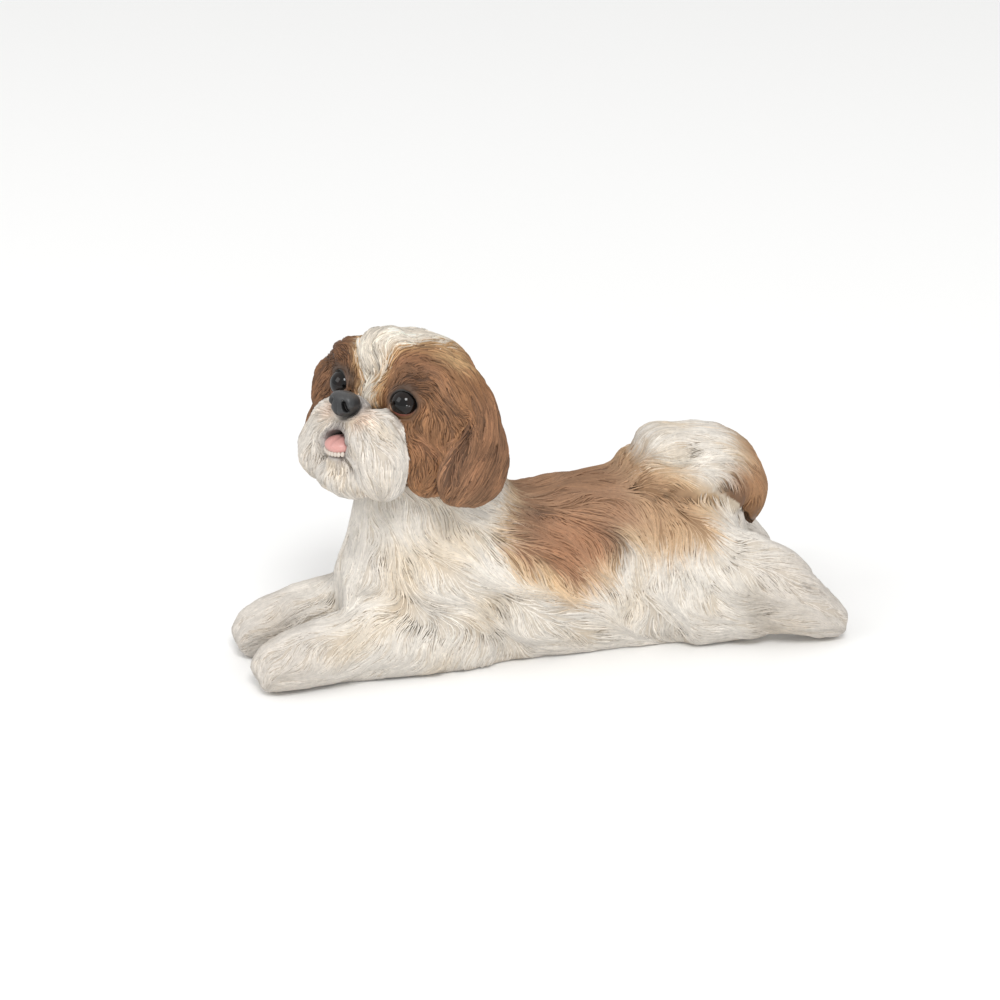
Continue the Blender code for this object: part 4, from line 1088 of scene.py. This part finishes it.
    @staticmethod
    def strands(surface, roots, tufts, comb, tuft_width, coat, rng):
        """Each strand follows the lie from its own root and draws in towards the middle of its tuft."""
        place, face = roots
        count, points = len(place), tufts["spine"].shape[1]
        starts, ways, lengths = tufts["spine"][:, 0], tufts["way"][:, 0], tufts["length"]
        chosen = np.empty(count, int)
        for part in np.array_split(np.arange(count), count // 1500 + 1):
            apart = place[part][:, None] - starts[None]
            along = (apart * ways[None]).sum(axis=2)
            beyond = np.maximum(np.abs(along / lengths - 0.3) - 0.4, 0) * lengths
            chosen[part] = ((apart ** 2).sum(axis=2) - 0.85 * along ** 2 + 4 * beyond ** 2).argmin(axis=1)
        apart = place - starts[chosen]
        first = (apart * ways[chosen]).sum(axis=1) / lengths[chosen]
        aside = (apart * tufts["side"][chosen, 0]).sum(axis=1)
        reach = rng.uniform(0.65, 1.05, count)
        astray = tufts["astray"][chosen] + rng.normal(0, 0.4 * coat.tuft_turn, count)
        pull = 1 - (1 - coat.gather * rng.uniform(0.6, 1.3, count)) ** (1 / (points - 1))
        t = np.linspace(0, 1, points)

        def sampled(values, at):
            at = np.clip(at, 0, points - 1)
            low = np.minimum(at.astype(int), points - 2)
            part = (at - low)[..., None]
            rows = np.arange(count)[:, None]
            return values[rows, low] * (1 - part) + values[rows, low + 1] * part

        normal = surface.normals[face]
        spine, normals, faces = [place], [normal], [face]
        here = place
        for step in t[1:]:
            way = turned(lie(here, normal, *comb), normal, astray)
            middle = sampled(tufts["spine"][chosen], ((first + step * reach) * (points - 1))[:, None])[:, 0]
            off = middle - here
            off -= way * (off * way).sum(axis=1, keepdims=True)
            off *= np.minimum(1, tuft_width / (np.linalg.norm(off, axis=1, keepdims=True) + 1e-9))
            here = here + way * (lengths[chosen] * reach * t[1])[:, None] + off * pull[:, None]
            here, index = surface.nearest(here)
            normal = surface.normals[index]
            spine.append(here)
            normals.append(normal)
            faces.append(index)
        spine, normals, index = (np.stack(values, axis=1) for values in (spine, normals, faces))
        group = surface.groups[face]
        onto_nape = (in_frame(spine.reshape(-1, 3), HEAD)[:, 1] < -0.020).reshape(index.shape)
        onto_nape &= (surface.groups[index] == 0) & (group == 1)[:, None]
        left = (surface.groups[index] != group[:, None]) & ~onto_nape
        left |= (normals * normals[:, :1]).sum(axis=2) < 0.0
        left |= feature_distance(spine.reshape(-1, 3)).reshape(left.shape) < 0
        left[:, 0] = False
        ends = np.where(left.any(axis=1), left.argmax(axis=1) - 0.3, points - 1.0)
        # a strand that leaves its region ends there
        at = t[None] * ends[:, None]
        spine, normals = sampled(spine, at), unit(sampled(normals, at))
        for _ in range(2):
            normals[:, 1:-1] = unit(normals[:, :-2] + normals[:, 1:-1] * 2 + normals[:, 2:])
            spine[:, 1:-1] = (spine[:, :-2] + spine[:, 1:-1] * 2 + spine[:, 2:]) / 4
        length = np.linalg.norm(np.diff(spine, axis=1), axis=2).sum(axis=1)
        crown = np.clip(1 - (aside / (tuft_width * 0.6)) ** 2, 0, 1)
        keep = (feature_distance(place) > 0.0004) & (ends > 1.5) & (length > 0.003)
        keep &= ~((normals[:, 0, 2] < -0.75) | (spine[:, 0, 2] < 0.0012))
        found = {"root": place, "face": face, "spine": spine, "normal": normals, "length": length,
                 "crown": crown, "tone": tufts["tone"][chosen]}
        return {key: values[keep] for key, values in found.items()}

    @staticmethod
    def build(name, strands, surface, width, depth, coat, paints, atlas, rng):
        """Closed strands with a ridge along the top, as one mesh with its paint and its UV map."""
        spine, normal = strands["spine"], strands["normal"]
        count, points = spine.shape[:2]
        t = np.linspace(0, 1, points)
        tangent = np.gradient(spine, axis=1)
        tangent = unit(tangent - normal * (tangent * normal).sum(axis=2, keepdims=True))
        side = np.cross(normal, tangent)
        fine = 0.65 + 0.35 * rise(feature_distance(strands["root"]), 0.0, 0.014)
        widths = width * rng.uniform(0.70, 1.30, count) * fine
        rises = coat.strand_rise * depth ** 0.5 * rng.uniform(0.55, 1.25, count) * fine
        wiggle = np.sin(2 * math.pi * (t[None] * (strands["length"] / 0.013)[:, None]
                                       + rng.random(count)[:, None]))
        spine = spine + side * (wiggle * (0.20 * widths)[:, None])[..., None]
        taper = np.sin(np.pi * t ** 0.75) ** 0.6
        broad = (widths / 2)[:, None] * np.maximum(taper, 0.02)[None]
        high = rises[:, None] * (np.sin(np.pi * np.minimum(t, 0.999) ** 0.9) ** 0.7)[None]
        high += coat.tuft_rise * (strands["crown"] * fine)[:, None] * np.sin(np.pi * t ** 1.3)[None]
        sunk = np.full(points, -0.00030)
        sunk[0], sunk[-1] = -0.0006, -0.0002
        base = spine + normal * sunk[None, :, None]
        ring = np.stack([base + side * broad[..., None], spine + normal * high[..., None],
                         base - side * broad[..., None]], axis=2)
        inner = ring[:, 1:-1].reshape(count, -1, 3)
        verts = np.concatenate([base[:, :1], inner, base[:, -1:]], axis=1)
        per = verts.shape[1]
        rings = points - 2
        faces = []
        for k in range(RIM_SIDES):
            n = (k + 1) % RIM_SIDES
            last = 1 + (rings - 1) * RIM_SIDES
            faces += [(0, 1 + k, 1 + n), (last + k, per - 1, last + n)]
            for r in range(rings - 1):
                a, b = 1 + r * RIM_SIDES + k, 1 + r * RIM_SIDES + n
                c, d = a + RIM_SIDES, b + RIM_SIDES
                faces += [(a, c, b), (b, c, d)]
        faces = np.array(faces)
        corners = (np.arange(count)[:, None, None] * per + faces[None]).reshape(-1)
        verts[..., 2] = np.maximum(verts[..., 2], 0.0001)

        # paint: the marking under the strand, a little astray, brighter on the ridge
        astray = rng.normal(0, 0.0018, (count, 3)) * rise(feature_distance(strands["root"]), 0.0, 0.008)[:, None]
        kinds = surface.owners[strands["face"]]
        samples = np.stack([painted(spine[:, k] + astray, kinds, paints)
                            for k in (0, points // 2, points - 1)], axis=1)
        where = np.interp(t, (0, 0.5, 1), (0, 1, 2))
        low = np.minimum(where.astype(int), 1)
        part = (where - low)[None, :, None]
        along = samples[:, low] * (1 - part) + samples[:, low + 1] * part
        ridge, edge, ground = relief_tones(along, depth)
        tone = np.clip(rng.normal(1.0, 0.08 * depth, count), 0.55, 1.35) * strands["tone"] ** depth
        flecks = np.interp(samples.mean(axis=(1, 2)), (0.08, 0.55), (0.72, 0.90))
        tone *= np.where(rng.random(count) < 0.06 * depth, flecks, 1) * (0.92 + 0.08 * strands["crown"])
        along = along * tone[:, None, None]
        edges = along * edge ** WASH_TINT
        painted_ring = np.stack([edges, along * ridge, edges], axis=2)
        inner_paint = painted_ring[:, 1:-1].reshape(count, -1, 3)
        colour = np.concatenate([along[:, :1] * ground[:, :1], inner_paint, along[:, -1:] * edge[:, -1:]], axis=1)

        mesh = bpy.data.meshes.new(name)
        mesh.vertices.add(count * per)
        mesh.vertices.foreach_set("co", verts.reshape(-1))
        mesh.loops.add(len(corners))
        mesh.loops.foreach_set("vertex_index", corners.astype(np.int32))
        mesh.polygons.add(len(corners) // 3)
        mesh.polygons.foreach_set("loop_start", np.arange(0, len(corners), 3, dtype=np.int32))
        mesh.update(calc_edges=True)
        mesh.shade_smooth()
        set_paint(mesh, colour.reshape(-1, 3))

        # each strand's patch on the unwrap of the skin, 0.003 across at its root's place
        tree, loops, triangles = atlas
        places = np.empty((count, 2))
        for i, root in enumerate(strands["root"].tolist()):
            near, _, face, _ = tree.find_nearest(root)
            a, b, c = triangles[face]
            near = np.array(near)
            whole = np.linalg.norm(np.cross(b - a, c - a)) + 1e-15
            wa = np.linalg.norm(np.cross(b - near, c - near)) / whole
            wb = np.linalg.norm(np.cross(near - a, c - a)) / whole
            places[i] = loops[face][0] * wa + loops[face][1] * wb + loops[face][2] * (1 - wa - wb)
        patch = 0.003
        inner_t = np.repeat(t[1:-1], RIM_SIDES)
        inner_s = np.tile(np.linspace(1, 0, RIM_SIDES), rings)
        local = np.concatenate([[(0.0, 0.5)], np.stack([inner_t, inner_s], axis=1), [(1.0, 0.5)]])
        uv = np.clip(places[:, None, :] + (local[None] - 0.5) * patch, 0, 1).reshape(-1, 2)
        layer = mesh.uv_layers.new(name="OFBake")
        layer.data.foreach_set("uv", uv[corners].ravel())
        return new_object(name, mesh)


class STATUE_OT_eyes(bpy.types.Operator):
    """Sets the glass eyes and the lids round them"""

    bl_idname = "statue.eyes"
    bl_label = "Eyes"

    def execute(self, context):
        face = context.scene.statue_face
        paints = paints_of(context)
        glass = glass_material()
        rim = feature_material("lid_paint", 0.50, 0.0012, 0.3)
        for side, word in ((1, "left"), (-1, "right")):
            centre = Vector((side * EYE_PLACE[0], *EYE_PLACE[1:]))
            socket = HEAD @ Matrix.Translation(centre) @ Matrix.Rotation(-side * EYE_TURN, 4, "Z")
            bm = bmesh.new()
            place = socket @ Matrix.Rotation(math.radians(-90), 4, "X")
            bmesh.ops.create_uvsphere(bm, u_segments=64, v_segments=40, radius=face.eye_radius, matrix=place)
            eye = from_bmesh("glass_eye_" + word, bm)
            places, _ = mesh_arrays(eye.data)
            points = in_frame(places, socket)
            from_axis = np.hypot(points[:, 0], points[:, 2])
            from_axis = np.where(points[:, 1] > 0, from_axis, 1)
            colours = np.tile(paints["glass"], (len(points), 1))
            ring = rise(from_axis, 0.0040, 0.0050) * (1 - rise(from_axis, 0.0064, 0.0078))
            colours = blend(colours, paints["iris"], ring)
            set_paint(eye.data, colours)
            finish_piece(eye, glass, ("eye_" + word,))
            self.lids(side, word, socket, face, paints, rim)
        return {"FINISHED"}

    @staticmethod
    def lids(side, word, socket, face, paints, material):
        """A soft ring round the eye, heavier and further forward above than below."""
        bm = bmesh.new()
        bmesh.ops.create_circle(bm, segments=16, radius=face.lid_thickness,
                                matrix=Matrix.Translation((face.lid_width, 0, 0)))
        bmesh.ops.spin(bm, geom=bm.verts[:] + bm.edges[:], cent=(0, 0, 0), axis=(0, 1, 0),
                       angle=2 * math.pi, steps=64, use_merge=True)
        bmesh.ops.remove_doubles(bm, verts=bm.verts, dist=1e-6)
        # the circle lies in XY: its X is outwards and its Y is forwards
        for vert in bm.verts:
            angle = math.atan2(vert.co.z, vert.co.x)
            out = math.hypot(vert.co.x, vert.co.z) - face.lid_width
            above = max(0.0, math.sin(angle))
            below = max(0.0, -math.sin(angle))
            radius = face.lid_width + (face.lid_height - face.lid_width) * abs(math.sin(angle)) ** 1.5
            radius += out * (1 + 0.35 * above + below) - 0.0006 * above - 0.0010 * below
            # the lower lid is a band over the ball of the eye
            ball_front = math.sqrt(max(0.0, face.eye_radius ** 2 - radius ** 2))
            lift = vert.co.y * (1 + 0.30 * above) + 0.0012 * above + max(0.0, ball_front - 0.0024) * below ** 0.5
            vert.co = Vector((radius * math.cos(angle), 0.0022 + lift, radius * math.sin(angle)))
        bmesh.ops.transform(bm, verts=bm.verts, matrix=socket)
        lids = from_bmesh("lids_" + word, bm)
        places, _ = mesh_arrays(lids.data)
        points = in_frame(places, socket)
        radius = np.hypot(points[:, 0], points[:, 2])
        below = -points[:, 2] / (radius + 1e-9)
        rim = radius - face.lid_height + 0.0022 * np.clip(below, 0, 1)
        inner = 1 - rise(rim, -0.0002, 0.0010)
        colours = blend(np.tile(paints["dark_brown"], (len(points), 1)), paints["head_brown"] * 0.8, rise(below, 0.1, 0.6))
        colours = blend(colours, paints["lid"] * 0.5, 0.2 + 0.8 * inner)
        colours = blend(colours, paints["lid_red"], rise(below, 0.10, 0.55) * inner)
        # the inner corner, next to the nose, is the colour of skin
        corner = np.exp(-((points[:, 0] * side + 0.0080) / 0.0018) ** 2 - ((points[:, 2] + 0.0046) / 0.0016) ** 2)
        colours = blend(colours, paints["peach"], 0.7 * corner)
        set_paint(lids.data, colours)
        finish_piece(lids, material)


class STATUE_OT_nose(bpy.types.Operator):
    """Models the nose with its nostrils"""

    bl_idname = "statue.nose"
    bl_label = "Nose"

    def execute(self, context):
        paints = paints_of(context)
        bm = bmesh.new()
        bmesh.ops.create_icosphere(bm, subdivisions=6, radius=1)
        points = np.array([v.co for v in bm.verts])
        # a blunt block: broad above, narrow below, flat in front, with a groove down the middle
        blocky = np.sign(points) * np.abs(points) ** 0.74
        x, y, z = blocky.T
        below = rise(-z, -0.1, 1.0)
        half = 0.0097 * (1 - 0.42 * below)
        place = np.stack([x * half, y * 0.0078 - 0.0004 * below * (y > 0), 0.0004 + z * 0.0080], axis=1)
        front = rise(y, 0.15, 0.7)
        groove = np.exp(-(place[:, 0] / 0.0008) ** 2) * rise(-z, -0.45, 0.1) * front
        place[:, 1] -= 0.0010 * groove
        hole = np.zeros(len(place))
        for side in (1, -1):
            aside, height = place[:, 0] * side, place[:, 2]
            # each nostril is a comma that runs down from the front to the side, under a full wing
            lean = aside - 0.0058 + 0.30 * (height - 0.0010)
            pit = np.exp(-(lean / 0.0013) ** 2 - ((height + 0.0004) / 0.0034) ** 4)
            wing = np.exp(-((aside - 0.0092) / 0.0026) ** 2 - ((height - 0.0004) / 0.0036) ** 2)
            place += points * (0.0005 * wing * rise(y, -0.3, 0.4))[:, None]
            inward = np.array((-0.55 * side, -0.85, 0.0))
            place += inward * (0.0042 * pit * front)[:, None]
            hole = np.maximum(hole, front * pit)
        for vert, co in zip(bm.verts, place):
            vert.co = co
        bmesh.ops.transform(bm, verts=bm.verts, matrix=HEAD @ Matrix.Translation(NOSE_PLACE))
        nose = from_bmesh("nose_leather", bm)
        colours = np.tile(paints["nose"], (len(place), 1))
        top = rise(z, 0.3, 0.9) * 0.12
        colours = blend(colours, paints["muzzle_grey"], top)
        # painted shade: the nostrils are painted near black
        colours = blend(colours, paints["mouth_dark"] * 0.15, np.clip(hole * 1.5, 0, 1))
        set_paint(nose.data, colours)
        finish_piece(nose, feature_material("nose_paint", 0.38, 0.0009, 0.5), ("nose",))
        return {"FINISHED"}


class STATUE_OT_mouth(bpy.types.Operator):
    """Models the tongue and the row of lower teeth"""

    bl_idname = "statue.mouth"
    bl_label = "Mouth"

    def execute(self, context):
        face = context.scene.statue_face
        paints = paints_of(context)
        bm = bmesh.new()
        bmesh.ops.create_icosphere(bm, subdivisions=5, radius=1)
        points = np.array([v.co for v in bm.verts])
        place = points * (0.0100, 0.0104, 0.0054)
        place[:, 2] -= 0.0011 * np.exp(-(place[:, 0] / 0.0014) ** 2) * rise(points[:, 2], 0, 0.6)
        for vert, co in zip(bm.verts, place):
            vert.co = co
        turn = Matrix.Rotation(math.radians(-12), 4, "X")
        bmesh.ops.transform(bm, verts=bm.verts, matrix=HEAD @ Matrix.Translation((-0.0002, 0.0600, -0.0307)) @ turn)
        tongue = from_bmesh("tongue_paint", bm)
        colours = np.tile(paints["tongue"], (len(place), 1))
        colours = blend(colours, paints["lip"], 0.4 * rise(-points[:, 1], -0.4, 0.6))
        set_paint(tongue.data, colours)
        finish_piece(tongue, feature_material("tongue_glaze", 0.34, 0.0008, 0.3), ("tongue",))

        bm = bmesh.new()
        for i in range(face.teeth):
            across = (i - (face.teeth - 1) / 2) * 0.0021
            matrix = (HEAD @ Matrix.Translation((across, 0.0676 - 40 * across ** 2, -0.0365 + 22 * across ** 2))
                      @ Matrix.Diagonal((0.0013, 0.0013, 0.0017, 1)))
            bmesh.ops.create_icosphere(bm, subdivisions=3, radius=1, matrix=matrix)
        teeth = from_bmesh("lower_teeth", bm)
        set_paint(teeth.data, np.tile(paints["teeth"], (len(teeth.data.vertices), 1)))
        finish_piece(teeth, feature_material("tooth_paint", 0.36, 0.0010, 0.2), ("teeth",))
        return {"FINISHED"}


# The camera: where it stands, and its view
CAMERA_AZIMUTH = math.radians(72)
CAMERA_ELEVATION = math.radians(22.5)
CAMERA_DISTANCE = 1.9
METRES_PER_PIXEL = 0.00066
IMAGE_SIDE = 1000
SENSOR_MM = 36
VIEW_ASIDE = -0.0145
VIEW_ABOVE = 0.0885


class STATUE_OT_stage(bpy.types.Operator):
    """Puts up the floor, the soft lights and the camera"""

    bl_idname = "statue.stage"
    bl_label = "Stage"

    def execute(self, context):
        stage = context.scene.statue_stage
        bm = bmesh.new()
        bmesh.ops.create_grid(bm, x_segments=1, y_segments=1, size=stage.floor_size / 2)
        floor = from_bmesh("floor", bm)
        material, tree, shader = new_material("studio_floor")
        place = add_node(tree, "ShaderNodeTexCoord")
        # a plain board with the faintest unevenness, about 50 mm
        tone = add_node(tree, "ShaderNodeTexNoise", {"Scale": 1 / 0.05}, {"Vector": place.outputs["Object"]})
        rough = add_node(tree, "ShaderNodeMapRange", {"To Min": 0.85, "To Max": 0.95},
                         {"Value": tone.outputs["Fac"]})
        shader.inputs["Base Color"].default_value = (*stage.floor_colour, 1)
        tree.links.new(rough.outputs["Result"], shader.inputs["Roughness"])
        floor.data.materials.append(material)

        world = bpy.data.worlds.new("studio")
        world.use_nodes = True
        background = world.node_tree.nodes["Background"]
        background.inputs["Color"].default_value = (1, 1, 1, 1)
        background.inputs["Strength"].default_value = 0.79
        context.scene.world = world
        # the photo's paper white is plain white, so the picture isn't graded
        context.scene.view_settings.view_transform = "Standard"
        self.camera(context)
        # soft boxes: (name, azimuth, elevation, distance, side, watts)
        self.softbox(context, "key", math.radians(80), math.radians(52), 4.0, 1.15, 60)
        self.softbox(context, "fill", math.radians(5), math.radians(35), 3.5, 1.8, 22)
        # small ones that show in the eyes
        self.softbox(context, "lamp", math.radians(80), math.radians(6), 1.4, 0.15, 1.8)
        self.softbox(context, "lower_lamp", math.radians(98), math.radians(0), 1.4, 0.11, 0.8)
        return {"FINISHED"}

    @staticmethod
    def softbox(context, name, azimuth, elevation, distance, side, watts):
        data = bpy.data.lights.new(name, "AREA")
        data.shape = "SQUARE"
        data.size = side
        data.energy = watts
        light = bpy.data.objects.new(name, data)
        back = Vector((math.sin(azimuth) * math.cos(elevation), -math.cos(azimuth) * math.cos(elevation),
                       math.sin(elevation)))
        light.location = Vector((0, 0, 0.08)) + back * distance
        light.rotation_euler = back.to_track_quat("Z", "Y").to_euler()
        context.scene.collection.objects.link(light)

    @staticmethod
    def camera(context):
        azimuth, elevation = CAMERA_AZIMUTH, CAMERA_ELEVATION
        aside = Vector((math.cos(azimuth), math.sin(azimuth), 0))
        back = Vector((math.sin(azimuth) * math.cos(elevation), -math.cos(azimuth) * math.cos(elevation),
                       math.sin(elevation)))
        above = back.cross(aside)
        data = bpy.data.cameras.new("camera")
        data.sensor_width = SENSOR_MM
        data.lens = SENSOR_MM * CAMERA_DISTANCE / (METRES_PER_PIXEL * IMAGE_SIDE)
        camera = bpy.data.objects.new("camera", data)
        camera.location = aside * VIEW_ASIDE + above * VIEW_ABOVE + SHIFT + back * CAMERA_DISTANCE
        camera.rotation_euler = Matrix((aside, above, back)).transposed().to_euler()
        context.scene.collection.objects.link(camera)
        context.scene.camera = camera


OPERATORS = (STATUE_OT_skin, STATUE_OT_coat, STATUE_OT_eyes, STATUE_OT_nose, STATUE_OT_mouth,
             STATUE_OT_stage)


class STATUE_PT_panel(bpy.types.Panel):
    """Lists the statue's pieces and settings"""

    bl_label = "Statue"
    bl_idname = "STATUE_PT_panel"
    bl_space_type = "VIEW_3D"
    bl_region_type = "UI"
    bl_category = "Statue"

    def draw(self, context):
        layout = self.layout
        for operator in OPERATORS:
            layout.operator(operator.bl_idname)
        for key in ("statue_paints", "statue_coat", "statue_face", "statue_stage"):
            group = getattr(context.scene, key)
            for name in type(group).__annotations__:
                layout.prop(group, name)


GROUPS = {"statue_paints": StatuePaints, "statue_coat": CoatSettings, "statue_face": FaceSettings,
          "statue_stage": StageSettings}


def register():
    for cls in (*GROUPS.values(), *OPERATORS, STATUE_PT_panel):
        bpy.utils.register_class(cls)
    for key, cls in GROUPS.items():
        setattr(bpy.types.Scene, key, PointerProperty(type=cls))


def unregister():
    for key in GROUPS:
        delattr(bpy.types.Scene, key)
    for cls in reversed((*GROUPS.values(), *OPERATORS, STATUE_PT_panel)):
        bpy.utils.unregister_class(cls)


def main():
    register()
    bpy.ops.statue.skin()
    bpy.ops.statue.coat()
    bpy.ops.statue.eyes()
    bpy.ops.statue.nose()
    bpy.ops.statue.mouth()
    bpy.ops.statue.stage()


if __name__ == "__main__":
    main()
